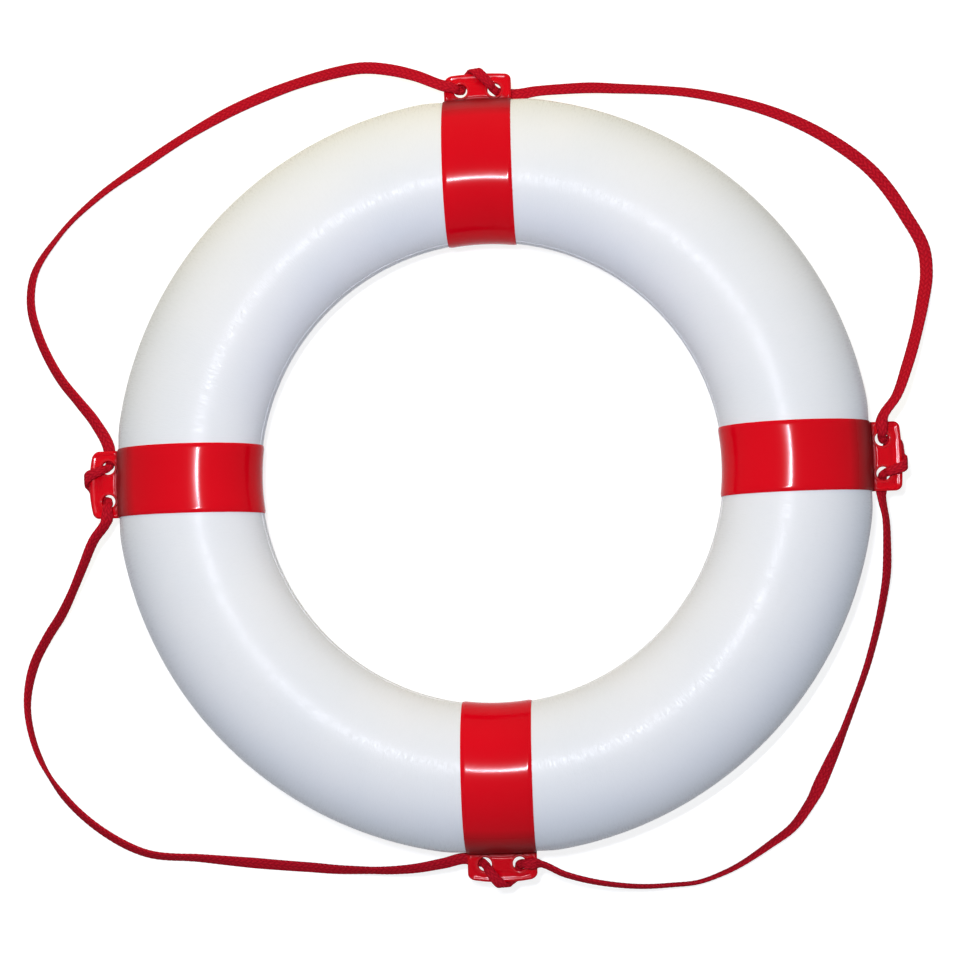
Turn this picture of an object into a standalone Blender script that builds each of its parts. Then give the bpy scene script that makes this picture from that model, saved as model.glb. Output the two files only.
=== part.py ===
# Life ring: a foam-filled ring moulded in two halves, four plastic bands whose
# ends make tabs with eyelets, and a grab line laced through the tabs.
#
# Metres, +Z up. The ring lies on its back: +Z is the ring's axis and points out
# of its front. +Y points at the top band and +X at the right one. The origin is
# on the floor, under the middle of the ring, which stands on its four bands.

from math import asin, atan2, cos, pi, radians, sin

import bmesh
import bpy
import numpy as np
from mathutils import Matrix, Vector

# Clearances
GAP = 0.0003
SLIT = 0.0003

# Ring
RING_OUTER_DIAMETER = 0.720
RING_INNER_DIAMETER = 0.440
TUBE_THICKNESS = 0.104
SHELL_WALL = 0.0025
SEAM_CHAMFER = 0.0009
SEAM_LIP = 0.004

# Plugs in the back of the ring
FILLER_PLUG_DIAMETER = 0.028
VENT_PLUG_DIAMETER = 0.014
PLUG_PROUD = 0.0007
PLUG_EDGE = 0.0005
FILLER_PLUG_BEARING = radians(135)
VENT_PLUG_BEARING = radians(-45)

# Bands and their tabs
BAND_WIDTH = 0.065
BAND_THICKNESS = 0.0012
BAND_PULL_IN = 0.0035
PULL_IN_FALLOFF = 1.5
TAB_LENGTH = 0.027
TAB_CORNER_RADIUS = 0.006

# Eyelets
EYELET_BORE = 0.0128
EYELET_BARREL_WALL = 0.001
EYELET_FLANGE_DIAMETER = 0.0185
EYELET_FLANGE_THICKNESS = 0.001
EYELET_BORE_CHAMFER = 0.001
EYELET_SIDE_MARGIN = 0.01625
EYELET_SETBACK = 0.010

# Grab line
LINE_DIAMETER = 0.008
LINE_CLEARANCE = 0.0007
LINE_BEND_RADIUS = 0.0068
LINE_LEAN = 0.6
KNOT_WIDTH = 0.018
KNOT_THICKNESS = 0.012

# How finely round shapes are cut
SECTION_STEPS = 13
SEAT_STEPS = 3
SEAT_MARGIN = 1.12
FREE_STEPS = 8
EYELET_STEPS = 16
PLUG_STEPS = 20
CORNER_STEPS = 3
KNOT_STEPS = (12, 8)
LINE_BEVEL_RESOLUTION = 2
LACING_POINTS = 26
STRETCH_POINTS = 20
CURVE_STEPS = 24
TOUCHING = 0.00001
SHARP_ANGLE = radians(35)

# What follows from these
TUBE_RADIAL = (RING_OUTER_DIAMETER - RING_INNER_DIAMETER) / 4
TUBE_AXIAL = TUBE_THICKNESS / 2
TUBE_CENTRE_RADIUS = (RING_OUTER_DIAMETER + RING_INNER_DIAMETER) / 4
RING_OUTER_RADIUS = RING_OUTER_DIAMETER / 2
LINE_RADIUS = LINE_DIAMETER / 2
MID_HEIGHT = TUBE_AXIAL + GAP + BAND_THICKNESS
SEAT_PLANE = RING_OUTER_RADIUS - BAND_PULL_IN
TAB_ROOT = SEAT_PLANE + GAP + BAND_THICKNESS
TAB_END = TAB_ROOT + TAB_LENGTH
EYELET_RADIUS_OUT = TAB_ROOT + EYELET_SETBACK
EYELET_SPACING = BAND_WIDTH - 2 * EYELET_SIDE_MARGIN
PLY_TOP = SLIT / 2 + BAND_THICKNESS
FLANGE_TOP = PLY_TOP + GAP + EYELET_FLANGE_THICKNESS
LINE_OVER = FLANGE_TOP + LINE_RADIUS + LINE_CLEARANCE

# Each tab's bearing, as the turn of its empty about Z from the top one. After it,
# in the photograph's own scatter: where the line comes in over the tab's side,
# where it crosses the outer edge, and where it leaves behind the other side. The
# first and last are measured outwards from the eyelets, the middle one sideways.
TABS = {
    "top": (0, 0.005, -0.003, -0.0035),
    "right": (-90, 0.003, 0.006, -0.0015),
    "bottom": (180, -0.0005, -0.001, -0.0045),
    "left": (90, 0.0005, 0.004, 0.0005),
}


# Materials
def principled(name, colour, roughness, metallic=0.0):
    material = bpy.data.materials.new(name)
    material.use_nodes = True
    shader = material.node_tree.nodes["Principled BSDF"]
    shader.inputs["Base Color"].default_value = (*colour, 1)
    shader.inputs["Roughness"].default_value = roughness
    shader.inputs["Metallic"].default_value = metallic
    material.diffuse_color = (*colour, 1)
    return material


# Objects
def clear_scene():
    for obj in list(bpy.data.objects):
        bpy.data.objects.remove(obj)


def add_object(name, data, material=None, parent=None, location=(0, 0, 0)):
    obj = bpy.data.objects.new(name, data)
    bpy.context.scene.collection.objects.link(obj)
    obj.location = location
    obj.parent = parent
    if material:
        obj.data.materials.clear()
        obj.data.materials.append(material)
    return obj


def add_empty(name, turn=0.0):
    """An empty on the ring's axis at mid height, turned about it."""
    empty = bpy.data.objects.new(name, None)
    bpy.context.scene.collection.objects.link(empty)
    empty.location = (0, 0, MID_HEIGHT)
    empty.rotation_euler = (0, 0, turn)
    return empty


def finish_mesh(work, name):
    """The bmesh as a mesh with its faces outwards, smooth but for its sharp edges."""
    bmesh.ops.recalc_face_normals(work, faces=work.faces)
    mesh = bpy.data.meshes.new(name)
    work.to_mesh(mesh)
    work.free()
    mesh.shade_smooth()
    mesh.set_sharp_from_angle(angle=SHARP_ANGLE)
    return mesh


def cut(obj, cutter):
    """A Boolean difference; the cutter stays in the scene as a hidden helper."""
    cutter.hide_render = True
    cutter.display_type = "WIRE"
    modifier = obj.modifiers.new("cut_" + cutter.name, "BOOLEAN")
    modifier.operation = "DIFFERENCE"
    modifier.solver = "EXACT"
    modifier.object = cutter


# The tube's section
def section_point(outset, turn):
    """Radius and height on the tube's oval section, grown by outset, at this turn.

    Turn 0 is the outer side and a quarter turn the front. The oval is stretched
    a little along the axis, so that its front and back facets lie at full height.
    """
    stretch = 1 / cos(pi / SECTION_STEPS / 2)
    radius = TUBE_CENTRE_RADIUS + (TUBE_RADIAL + outset) * cos(turn)
    return radius, (TUBE_AXIAL + outset) * stretch * sin(turn)


def section_arc(outset, first, last):
    """Section points from step first to step last, in either direction."""
    way = 1 if last >= first else -1
    steps = range(first, last + way, way)
    return [section_point(outset, pi * step / SECTION_STEPS) for step in steps]


def height_on_wall(outset, height):
    """Distance from the tube's middle to the wall's first facet, at this height."""
    radius, top = section_point(outset, pi / SECTION_STEPS)
    reach = TUBE_RADIAL + outset
    return reach + (radius - TUBE_CENTRE_RADIUS - reach) * height / top


def pull_in(point):
    """Moves a point inwards where a band draws the tube's outer side flat."""
    radius = point.xy.length
    bearing = atan2(point.y, point.x)
    off_centre = bearing - round(bearing / (pi / 2)) * (pi / 2)
    depth = RING_OUTER_RADIUS * cos(off_centre) - SEAT_PLANE
    turn = atan2(point.z / TUBE_AXIAL, (radius - TUBE_CENTRE_RADIUS) / TUBE_RADIAL)
    weight = max(0.0, cos(turn)) ** PULL_IN_FALLOFF
    straight_out = Vector((cos(bearing - off_centre), sin(bearing - off_centre), 0))
    return point - straight_out * max(0.0, depth) * weight


def seat_half_angle():
    """Half the angle that a band can cover, measured on the ring's inner side."""
    inner_radius = RING_INNER_DIAMETER / 2 - GAP - BAND_THICKNESS
    return SEAT_MARGIN * asin(BAND_WIDTH / 2 / inner_radius)


def outline_edges(work, outline):
    """A closed outline of (radius, height) points, in the half plane of +Y."""
    corners = [work.verts.new((0, radius, height)) for radius, height in outline]
    pairs = zip(corners, corners[1:] + corners[:1])
    return corners + [work.edges.new(pair) for pair in pairs]


def spin(work, geometry, angle, steps):
    made = bmesh.ops.spin(
        work, geom=geometry, axis=(0, 0, 1), cent=(0, 0, 0), angle=angle, steps=steps
    )
    return made["geom_last"]


def ring_mesh(name, outline):
    """The outline turned full circle, in finer steps under the four bands."""
    work = bmesh.new()
    half = seat_half_angle()
    last = outline_edges(work, outline)
    bmesh.ops.rotate(
        work, verts=work.verts, cent=(0, 0, 0), matrix=Matrix.Rotation(-half, 3, "Z")
    )
    for _ in TABS:
        last = spin(work, last, 2 * half, SEAT_STEPS)
        last = spin(work, last, pi / 2 - 2 * half, FREE_STEPS)
    bmesh.ops.remove_doubles(work, verts=work.verts, dist=TOUCHING)
    for vertex in work.verts:
        vertex.co = pull_in(vertex.co)
    return finish_mesh(work, name)


# Half shells and foam
def seam_faces(side, lip):
    """Wall outline at one seam, from the outside in, for the front half.

    Side is 1 at the ring's outer side and -1 in its bore. With a lip the inner
    half of the wall reaches past the seam; without one it is cut back for it.
    """
    face = GAP / 2
    split = SHELL_WALL / 2 + (GAP / 2 if lip else -GAP / 2)
    depth = SEAM_LIP if lip else SEAM_LIP + GAP
    outer = TUBE_RADIAL
    if lip:
        inner = [(outer - split, -depth), (outer - SHELL_WALL, -depth)]
        inner.append((outer - SHELL_WALL, 0))
    else:
        inner = [(outer - split, depth), (height_on_wall(-SHELL_WALL, depth), depth)]
    points = [
        (height_on_wall(0, SEAM_CHAMFER + face), SEAM_CHAMFER + face),
        (outer - SEAM_CHAMFER, face),
        (outer - split, face),
        *inner,
    ]
    return [(TUBE_CENTRE_RADIUS + side * across, height) for across, height in points]


def half_shell_outline(lip):
    last = SECTION_STEPS - 1
    outer_skin = section_arc(0, 1, last)
    inner_skin = section_arc(-SHELL_WALL, last, 1)
    at_bore = seam_faces(-1, lip)
    at_rim = seam_faces(1, lip)
    return outer_skin + at_bore + inner_skin + at_rim[::-1]


def make_shells(white, parent):
    front = ring_mesh("shell_front", half_shell_outline(lip=True))
    back_outline = [(radius, -height) for radius, height in half_shell_outline(lip=False)]
    back = ring_mesh("shell_back", back_outline)
    add_object("shell_front", front, white, parent)
    return add_object("shell_back", back, white, parent)


def make_foam(material, parent):
    outline = section_arc(-SHELL_WALL - GAP, 0, 2 * SECTION_STEPS - 1)
    add_object("foam_core", ring_mesh("foam_core", outline), material, parent)


# Plugs
def disc_mesh(name, diameter, bottom, top, edge=0.0):
    work = bmesh.new()
    bmesh.ops.create_cone(
        work,
        cap_ends=True,
        segments=PLUG_STEPS,
        radius1=diameter / 2,
        radius2=diameter / 2,
        depth=top - bottom,
        matrix=Matrix.Translation((0, 0, (top + bottom) / 2)),
    )
    if edge:
        low = [e for e in work.edges if all(v.co.z < (top + bottom) / 2 for v in e.verts)]
        bmesh.ops.bevel(
            work, geom=low, offset=edge, segments=1, profile=0.5, affect="EDGES", material=-1
        )
    return finish_mesh(work, name)


def make_plug(name, diameter, bearing, material, shell, parent):
    """A plug in a hole through the back of the shell, at this bearing from +X."""
    place = (TUBE_CENTRE_RADIUS * cos(bearing), TUBE_CENTRE_RADIUS * sin(bearing), 0)
    bottom = -TUBE_AXIAL - PLUG_PROUD
    top = -TUBE_AXIAL + SHELL_WALL
    plug = disc_mesh(name, diameter, bottom, top, PLUG_EDGE)
    add_object(name, plug, material, parent, place)
    hole = disc_mesh(name + "_hole", diameter + 2 * GAP, 2 * bottom, top / 2)
    cut(shell, add_object(name + "_hole", hole, parent=parent, location=place))


# Bands
def band_outline():
    """The strap's section: round the tube, with two plies that make the tab."""
    last = 2 * SECTION_STEPS - 1
    outer = section_arc(GAP + BAND_THICKNESS, 1, last)
    inner = section_arc(GAP, last, 1)
    reach = TAB_END + BAND_PULL_IN
    outer_root = TUBE_CENTRE_RADIUS + height_on_wall(GAP + BAND_THICKNESS, PLY_TOP)
    inner_root = TUBE_CENTRE_RADIUS + height_on_wall(GAP, SLIT / 2)
    back_ply = [(outer_root, -PLY_TOP), (reach, -PLY_TOP), (reach, -SLIT / 2)]
    front_ply = [(reach, SLIT / 2), (reach, PLY_TOP), (outer_root, PLY_TOP)]
    return (
        outer
        + back_ply
        + [(inner_root, -SLIT / 2)]
        + inner
        + [(inner_root, SLIT / 2)]
        + front_ply
    )


def band_mesh():
    work = bmesh.new()
    outline = outline_edges(work, band_outline())
    half = seat_half_angle()
    bmesh.ops.rotate(
        work, verts=work.verts, cent=(0, 0, 0), matrix=Matrix.Rotation(-half, 3, "Z")
    )
    spin(work, outline, 2 * half, SEAT_STEPS)
    for vertex in work.verts:
        vertex.co = pull_in(vertex.co)
    for side in (-1, 1):
        trim(work, side)
    round_tab_corners(work)
    return finish_mesh(work, "band")


def at_band_side(edge, side):
    """Whether the edge lies on this side of the band: -1 or 1."""
    return all(abs(v.co.x - side * BAND_WIDTH / 2) < TOUCHING for v in edge.verts)


def trim(work, side):
    """Cuts the wedge to the band's width, so that its edges run straight."""
    bmesh.ops.bisect_plane(
        work,
        geom=work.verts[:] + work.edges[:] + work.faces[:],
        plane_co=(side * BAND_WIDTH / 2, 0, 0),
        plane_no=(side, 0, 0),
        clear_outer=True,
    )
    rim = [edge for edge in work.edges if edge.is_boundary and at_band_side(edge, side)]
    bmesh.ops.contextual_create(work, geom=rim)


def round_tab_corners(work):
    corners = [
        edge
        for edge in work.edges
        if (at_band_side(edge, -1) or at_band_side(edge, 1))
        and min(v.co.y for v in edge.verts) > TAB_END - TAB_LENGTH / 4
        and abs(edge.verts[0].co.y - edge.verts[1].co.y) < TOUCHING
    ]
    bmesh.ops.bevel(
        work,
        geom=corners,
        offset=TAB_CORNER_RADIUS,
        segments=CORNER_STEPS,
        profile=0.5,
        affect="EDGES",
        material=-1,
    )


def tab_holes_mesh():
    """Two cutters, one for each eyelet's barrel."""
    work = bmesh.new()
    radius = EYELET_BORE / 2 + EYELET_BARREL_WALL + GAP
    for side in (-1, 1):
        place = (side * EYELET_SPACING / 2, EYELET_RADIUS_OUT, 0)
        bmesh.ops.create_cone(
            work,
            cap_ends=True,
            segments=EYELET_STEPS,
            radius1=radius,
            radius2=radius,
            depth=4 * PLY_TOP,
            matrix=Matrix.Translation(place),
        )
    return finish_mesh(work, "tab_holes")


# Eyelets
def eyelet_mesh():
    """A barrel with a flange on each face of the tab, turned about Z."""
    bore = EYELET_BORE / 2
    barrel = bore + EYELET_BARREL_WALL
    flange = EYELET_FLANGE_DIAMETER / 2
    under = FLANGE_TOP - EYELET_FLANGE_THICKNESS
    half = [
        (bore, FLANGE_TOP - EYELET_BORE_CHAMFER),
        (bore + EYELET_BORE_CHAMFER, FLANGE_TOP),
        (flange, FLANGE_TOP),
        (flange, under),
        (barrel, under),
    ]
    outline = half + [(radius, -height) for radius, height in half[::-1]]
    work = bmesh.new()
    geometry = outline_edges(work, outline)
    turned = Matrix.Rotation(pi / EYELET_STEPS, 3, "Z")
    bmesh.ops.rotate(work, verts=work.verts, cent=(0, 0, 0), matrix=turned)
    spin(work, geometry, 2 * pi, EYELET_STEPS)
    bmesh.ops.remove_doubles(work, verts=work.verts, dist=TOUCHING)
    return finish_mesh(work, "eyelet")


# Grab line
def smooth_route(route, count, gap=0.0):
    """Points on a smooth curve through the route; its two end points only steer it.

    The curve starts and stops straight and short of the route by the gap, so that
    two pieces of line that meet stand face to face.
    """
    points = np.array(route, float)
    steps = np.diff(points, axis=0)
    lengths = np.linalg.norm(steps, axis=1)[:, None]
    headings = steps / lengths
    before = lengths[:-1]
    after = lengths[1:]
    tangents = (after * headings[:-1] + before * headings[1:]) / (before + after)
    t = np.linspace(0, 1, CURVE_STEPS, endpoint=False)[:, None]
    dense = []
    for i in range(len(tangents) - 1):
        leave = tangents[i] * lengths[i + 1]
        reach = tangents[i + 1] * lengths[i + 1]
        dense.append(
            points[i + 1] * (2 * t**3 - 3 * t**2 + 1)
            + leave * (t**3 - 2 * t**2 + t)
            + points[i + 2] * (3 * t**2 - 2 * t**3)
            + reach * (t**3 - t**2)
        )
    dense = np.vstack([*dense, points[-2:-1]])
    along = np.concatenate([[0], np.cumsum(np.linalg.norm(np.diff(dense, axis=0), axis=1))])
    wanted = np.linspace(LINE_DIAMETER, along[-1] - LINE_DIAMETER, count - 4)
    middle = np.stack([np.interp(wanted, along, axis) for axis in dense.T], axis=1)
    start = [points[1] + tangents[0] * reach for reach in (gap, gap + LINE_RADIUS)]
    stop = [points[-2] - tangents[-1] * reach for reach in (gap + LINE_RADIUS, gap)]
    return np.vstack([start, middle, stop])


def tube(name, points, material, parent=None):
    """A round tube with closed ends along the points."""
    data = bpy.data.curves.new(name, "CURVE")
    data.dimensions = "3D"
    data.bevel_depth = LINE_RADIUS
    data.bevel_resolution = LINE_BEVEL_RESOLUTION
    data.use_fill_caps = True
    spline = data.splines.new("POLY")
    spline.points.add(len(points) - 1)
    for point, place in zip(spline.points, points):
        point.co = (*place, 1)
    return add_object(name, data, material, parent)


def through_eyelet(hole, coming_from, going_to):
    """Points from the front, down through an eyelet and away behind the tab."""
    straight = LINE_OVER - LINE_BEND_RADIUS
    shoulder = LINE_BEND_RADIUS * (1 - sin(radians(45)))
    hole = Vector(hole)
    towards = (Vector(coming_from).xy - hole.xy).normalized().to_3d()
    away = (Vector(going_to).xy - hole.xy).normalized().to_3d()
    up = Vector((0, 0, 1))
    return [
        hole + towards * LINE_BEND_RADIUS + up * LINE_OVER,
        hole + towards * shoulder + up * (LINE_OVER - shoulder),
        hole + up * straight,
        hole - up * straight,
        hole + away * shoulder - up * (LINE_OVER - shoulder),
        hole + away * LINE_BEND_RADIUS - up * LINE_OVER,
    ]


def lacing_route(side):
    """The line over one tab: in at its left side, out behind its right side."""
    _, arrives, crosses, leaves = TABS[side]
    round_corner = LINE_RADIUS + LINE_CLEARANCE
    slanted = round_corner * sin(radians(45))
    near = PLY_TOP + round_corner
    lean = LINE_RADIUS * LINE_LEAN
    hole_1 = (-EYELET_SPACING / 2, EYELET_RADIUS_OUT, 0)
    hole_2 = (EYELET_SPACING / 2, EYELET_RADIUS_OUT, 0)
    enters = (-BAND_WIDTH / 2, EYELET_RADIUS_OUT + arrives, LINE_OVER)
    behind_edge = (crosses - lean, TAB_END, -near)
    before_edge = (crosses + lean, TAB_END, near)
    exits = (BAND_WIDTH / 2, EYELET_RADIUS_OUT + leaves, -LINE_OVER)
    return [
        enters,
        *through_eyelet(hole_1, enters, behind_edge),
        behind_edge,
        (crosses - lean / 2, TAB_END + slanted, -PLY_TOP - slanted),
        (crosses, TAB_END + round_corner, 0),
        (crosses + lean / 2, TAB_END + slanted, PLY_TOP + slanted),
        before_edge,
        *through_eyelet(hole_2, before_edge, exits),
        exits,
    ]


# The four free stretches: each leaves from behind its first tab, lies on the floor
# between the two, with its middle LIE above it, and reaches the next tab in front.
LIE = LINE_RADIUS + GAP
STRETCHES = {
    "top_right": (
        "top",
        "right",
        [
            (0.057, 0.368, 0.044),
            (0.083, 0.371, 0.037),
            (0.110, 0.374, 0.027),
            (0.137, 0.375, 0.016),
            (0.164, 0.375, 0.008),
            (0.191, 0.373, LIE),
            (0.243, 0.362, LIE),
            (0.294, 0.344, LIE),
            (0.340, 0.318, LIE),
            (0.381, 0.283, LIE),
            (0.410, 0.239, LIE),
            (0.427, 0.200, LIE),
            (0.427, 0.180, 0.007),
            (0.420, 0.150, 0.016),
            (0.409, 0.117, 0.031),
            (0.396, 0.085, 0.048),
            (0.383, 0.056, 0.058),
        ],
    ),
    "bottom_right": (
        "right",
        "bottom",
        [
            (0.370, -0.059, 0.044),
            (0.371, -0.084, 0.037),
            (0.371, -0.110, 0.027),
            (0.368, -0.135, 0.016),
            (0.363, -0.160, 0.008),
            (0.356, -0.185, LIE),
            (0.337, -0.234, LIE),
            (0.316, -0.281, LIE),
            (0.291, -0.327, LIE),
            (0.275, -0.347, LIE),
            (0.254, -0.362, LIE),
            (0.209, -0.388, LIE),
            (0.184, -0.396, 0.007),
            (0.158, -0.397, 0.015),
            (0.132, -0.396, 0.026),
            (0.107, -0.392, 0.039),
            (0.082, -0.386, 0.050),
            (0.058, -0.378, 0.058),
        ],
    ),
    "bottom_left": (
        "bottom",
        "left",
        [
            (-0.056, -0.368, 0.044),
            (-0.082, -0.373, 0.037),
            (-0.109, -0.376, 0.027),
            (-0.136, -0.377, 0.016),
            (-0.164, -0.377, 0.008),
            (-0.191, -0.375, LIE),
            (-0.244, -0.370, LIE),
            (-0.297, -0.364, LIE),
            (-0.351, -0.358, LIE),
            (-0.398, -0.333, LIE),
            (-0.436, -0.296, LIE),
            (-0.461, -0.248, LIE),
            (-0.467, -0.208, LIE),
            (-0.459, -0.172, 0.007),
            (-0.443, -0.146, 0.015),
            (-0.425, -0.124, 0.026),
            (-0.409, -0.101, 0.039),
            (-0.395, -0.077, 0.050),
            (-0.382, -0.053, 0.058),
        ],
    ),
    "top_left": (
        "left",
        "top",
        [
            (-0.383, 0.061, 0.044),
            (-0.401, 0.083, 0.037),
            (-0.421, 0.106, 0.027),
            (-0.438, 0.131, 0.016),
            (-0.451, 0.157, 0.008),
            (-0.459, 0.185, LIE),
            (-0.457, 0.213, LIE),
            (-0.428, 0.258, LIE),
            (-0.388, 0.295, LIE),
            (-0.343, 0.325, LIE),
            (-0.297, 0.353, LIE),
            (-0.248, 0.378, LIE),
            (-0.197, 0.396, 0.007),
            (-0.169, 0.401, 0.015),
            (-0.142, 0.403, 0.026),
            (-0.113, 0.402, 0.039),
            (-0.085, 0.395, 0.050),
            (-0.059, 0.385, 0.058),
        ],
    ),
}


def on_tab(side, place):
    """A place on a tab, from the tab's own coordinates to the ring's."""
    turned = Matrix.Rotation(radians(TABS[side][0]), 3, "Z") @ Vector(place)
    return turned + Vector((0, 0, MID_HEIGHT))


def off_tab(side, place):
    """The same the other way."""
    level = Vector(place) - Vector((0, 0, MID_HEIGHT))
    return Matrix.Rotation(-radians(TABS[side][0]), 3, "Z") @ level


def stretch_route(leaves_tab, reaches_tab, between):
    """The free route, set against the laced pieces and steered by them."""
    out_of = [on_tab(leaves_tab, place) for place in lacing_route(leaves_tab)[-2:]]
    into = [on_tab(reaches_tab, place) for place in lacing_route(reaches_tab)[:2]]
    return [*out_of, *between, *into]


def knot_mesh():
    work = bmesh.new()
    squash = Matrix.Diagonal((KNOT_WIDTH / 2, KNOT_WIDTH / 2, KNOT_THICKNESS / 2, 1))
    round_steps, height_steps = KNOT_STEPS
    bmesh.ops.create_uvsphere(
        work, u_segments=round_steps, v_segments=height_steps, radius=1, matrix=squash
    )
    return finish_mesh(work, "line_knot")


def make_line(material, parents):
    steers_out = {out: between[0] for out, _, between in STRETCHES.values()}
    steers_in = {into: between[-1] for _, into, between in STRETCHES.values()}
    for side, parent in parents.items():
        first = off_tab(side, steers_in[side])
        last = off_tab(side, steers_out[side])
        points = smooth_route([first, *lacing_route(side), last], LACING_POINTS)
        tube("lacing_" + side, points, material, parent)
    for name, stretch in STRETCHES.items():
        points = smooth_route(stretch_route(*stretch), STRETCH_POINTS, GAP)
        tube("grab_line_" + name, points, material)
    below = PLY_TOP + 2 * LINE_CLEARANCE + LINE_DIAMETER + KNOT_THICKNESS / 2
    place = (-EYELET_SPACING / 2 + LINE_RADIUS, TAB_END - LINE_RADIUS, -below)
    add_object("line_knot", knot_mesh(), material, parents["right"], place)


# The whole ring
def build():
    clear_scene()
    white = principled("shell white", (0.78, 0.79, 0.82), 0.3)
    grey_white = principled("plug white", (0.70, 0.71, 0.73), 0.4)
    foam = principled("foam", (0.86, 0.80, 0.62), 0.9)
    red = principled("band red", (0.62, 0.004, 0.012), 0.22)
    eyelet_red = principled("eyelet red", (0.58, 0.004, 0.014), 0.2)
    line_red = principled("line red", (0.48, 0.006, 0.018), 0.75)

    middle = add_empty("ring_middle")
    shell_back = make_shells(white, middle)
    make_foam(foam, middle)
    make_plug(
        "filler_plug", FILLER_PLUG_DIAMETER, FILLER_PLUG_BEARING, grey_white, shell_back, middle
    )
    make_plug("vent_plug", VENT_PLUG_DIAMETER, VENT_PLUG_BEARING, grey_white, shell_back, middle)

    band = band_mesh()
    holes = tab_holes_mesh()
    eyelet = eyelet_mesh()
    parents = {}
    for side, (turn, *_) in TABS.items():
        parents[side] = add_empty("tab_" + side, radians(turn))
        strap = add_object("band_" + side, band, red, parents[side])
        cut(strap, add_object("holes_" + side, holes, parent=parents[side]))
        for number, way in ((1, -1), (2, 1)):
            place = (way * EYELET_SPACING / 2, EYELET_RADIUS_OUT, 0)
            add_object(f"eyelet_{side}_{number}", eyelet, eyelet_red, parents[side], place)
    make_line(line_red, parents)


build()
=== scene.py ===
# %% [markdown]
# # A rigid life ring
# A rigid life ring is a hollow plastic ring filled with foam. Four red straps are
# shrunk round it, their ends lie on each other outside the ring as tabs, and one
# long braided line is laced through eyelets in the tabs, so that people in the
# water have something to hold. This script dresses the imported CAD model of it: each
# visible piece is modelled again, finer, in the same place, in metres with +Z up.

from math import cos, pi, radians, sin

import bmesh
import bpy
import numpy as np
from mathutils import Matrix, Vector


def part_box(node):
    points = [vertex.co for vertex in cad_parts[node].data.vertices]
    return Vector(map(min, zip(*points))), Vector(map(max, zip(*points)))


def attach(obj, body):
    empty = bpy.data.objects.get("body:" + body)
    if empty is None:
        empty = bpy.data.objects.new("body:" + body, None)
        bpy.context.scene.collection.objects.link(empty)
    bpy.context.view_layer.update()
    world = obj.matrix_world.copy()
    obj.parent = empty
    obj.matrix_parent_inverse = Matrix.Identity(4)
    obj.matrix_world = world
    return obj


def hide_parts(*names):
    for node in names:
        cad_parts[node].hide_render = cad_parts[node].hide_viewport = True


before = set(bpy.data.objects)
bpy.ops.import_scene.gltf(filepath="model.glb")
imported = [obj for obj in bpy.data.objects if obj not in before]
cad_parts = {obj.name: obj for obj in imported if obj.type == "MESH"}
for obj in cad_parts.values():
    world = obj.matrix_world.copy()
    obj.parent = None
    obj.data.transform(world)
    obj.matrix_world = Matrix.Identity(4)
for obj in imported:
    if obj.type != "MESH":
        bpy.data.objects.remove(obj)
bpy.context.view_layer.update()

# %% [markdown]
# ## Sizes
# Where an eyelet stands, how wide a band is and how far a tab reaches are read from
# the frame's own boxes, so they always agree with the CAD. The ring's radii can't be
# read from a box, because the bands draw the ring in where a box would touch it, so
# they are given as named values. The tube's section is an oval, with TUBE_RADIAL and
# TUBE_AXIAL as its half sizes. SEAT_PLANE is how far out the flat under a band lies.


# %% Sizes of the ring, its bands and its eyelets
def middle_and_size(node):
    low, high = (np.array(corner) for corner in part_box(node))
    return (low + high) / 2, high - low


RING_OUTER = 0.360
RING_INNER = 0.220
TUBE_MIDDLE = (RING_OUTER + RING_INNER) / 2
TUBE_RADIAL = (RING_OUTER - RING_INNER) / 2
TUBE_AXIAL = 0.052
SEAT_PLANE = 0.3565
BAND_GAP = 0.0003
BAND_THICKNESS = 0.0012
# The gap between a tab's two plies.
SLIT = 0.0003

eyelet_middle, eyelet_size = middle_and_size("eyelet_top_2")
EYELET_ASIDE, EYELET_OUT, MID_HEIGHT = eyelet_middle
FLANGE_TOP = eyelet_size[2] / 2
band_middle, band_size = middle_and_size("band_top")
BAND_WIDTH = band_size[0]
TAB_END = band_middle[1] + band_size[1] / 2
print(f"band {BAND_WIDTH:.4f} wide, tab to {TAB_END:.4f}, middle at {MID_HEIGHT:.4f}")

# %% [markdown]
# ## Camera
# The photograph looks straight down at the ring from about 1.6 m. How the tube hides
# its own far side at each bearing fixes where the camera stands: a little to the
# right of the ring's middle and below it. The small tilt turns the view so that the
# ring comes to the middle of the picture.

# %% The camera
CAMERA_OFFSET = Vector((0.0944, -0.1228, 1.5731))
CAMERA_TILT = Vector((0.0702, 0.0683, 0))
CAMERA_TURN = -0.0343
SENSOR = 36
LENS = 62.43

camera = bpy.data.objects.new("camera", bpy.data.cameras.new("camera"))
bpy.context.scene.collection.objects.link(camera)
camera.data.sensor_width = SENSOR
camera.data.sensor_fit = "HORIZONTAL"
camera.data.lens = LENS
aim = Matrix.Rotation(CAMERA_TURN, 3, "Z")
aim = aim @ Matrix.Rotation(CAMERA_TILT.length, 3, CAMERA_TILT.normalized())
stand = Matrix.Translation(CAMERA_OFFSET + Vector((0, 0, MID_HEIGHT)))
camera.matrix_world = stand @ aim.to_4x4()
bpy.context.scene.camera = camera
print("camera at", [round(x, 4) for x in camera.location])

# %% [markdown]
# ## Helpers
# Every piece is a mesh whose points already stand in the ring's own frame. Meshes
# are finished the same way: faces turned outwards, smooth shading with sharp edges
# kept, then the object rides on the part's one body and hides the CAD nodes that it
# stands for.

# %% Helpers for meshes and pieces
SHARP_ANGLE = radians(40)
MERGE = 0.000002


def read_points(mesh):
    points = np.empty(len(mesh.vertices) * 3)
    mesh.vertices.foreach_get("co", points)
    return points.reshape(-1, 3)


def move_points(mesh, points):
    mesh.vertices.foreach_set("co", np.ascontiguousarray(points).ravel())
    mesh.update()


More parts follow.
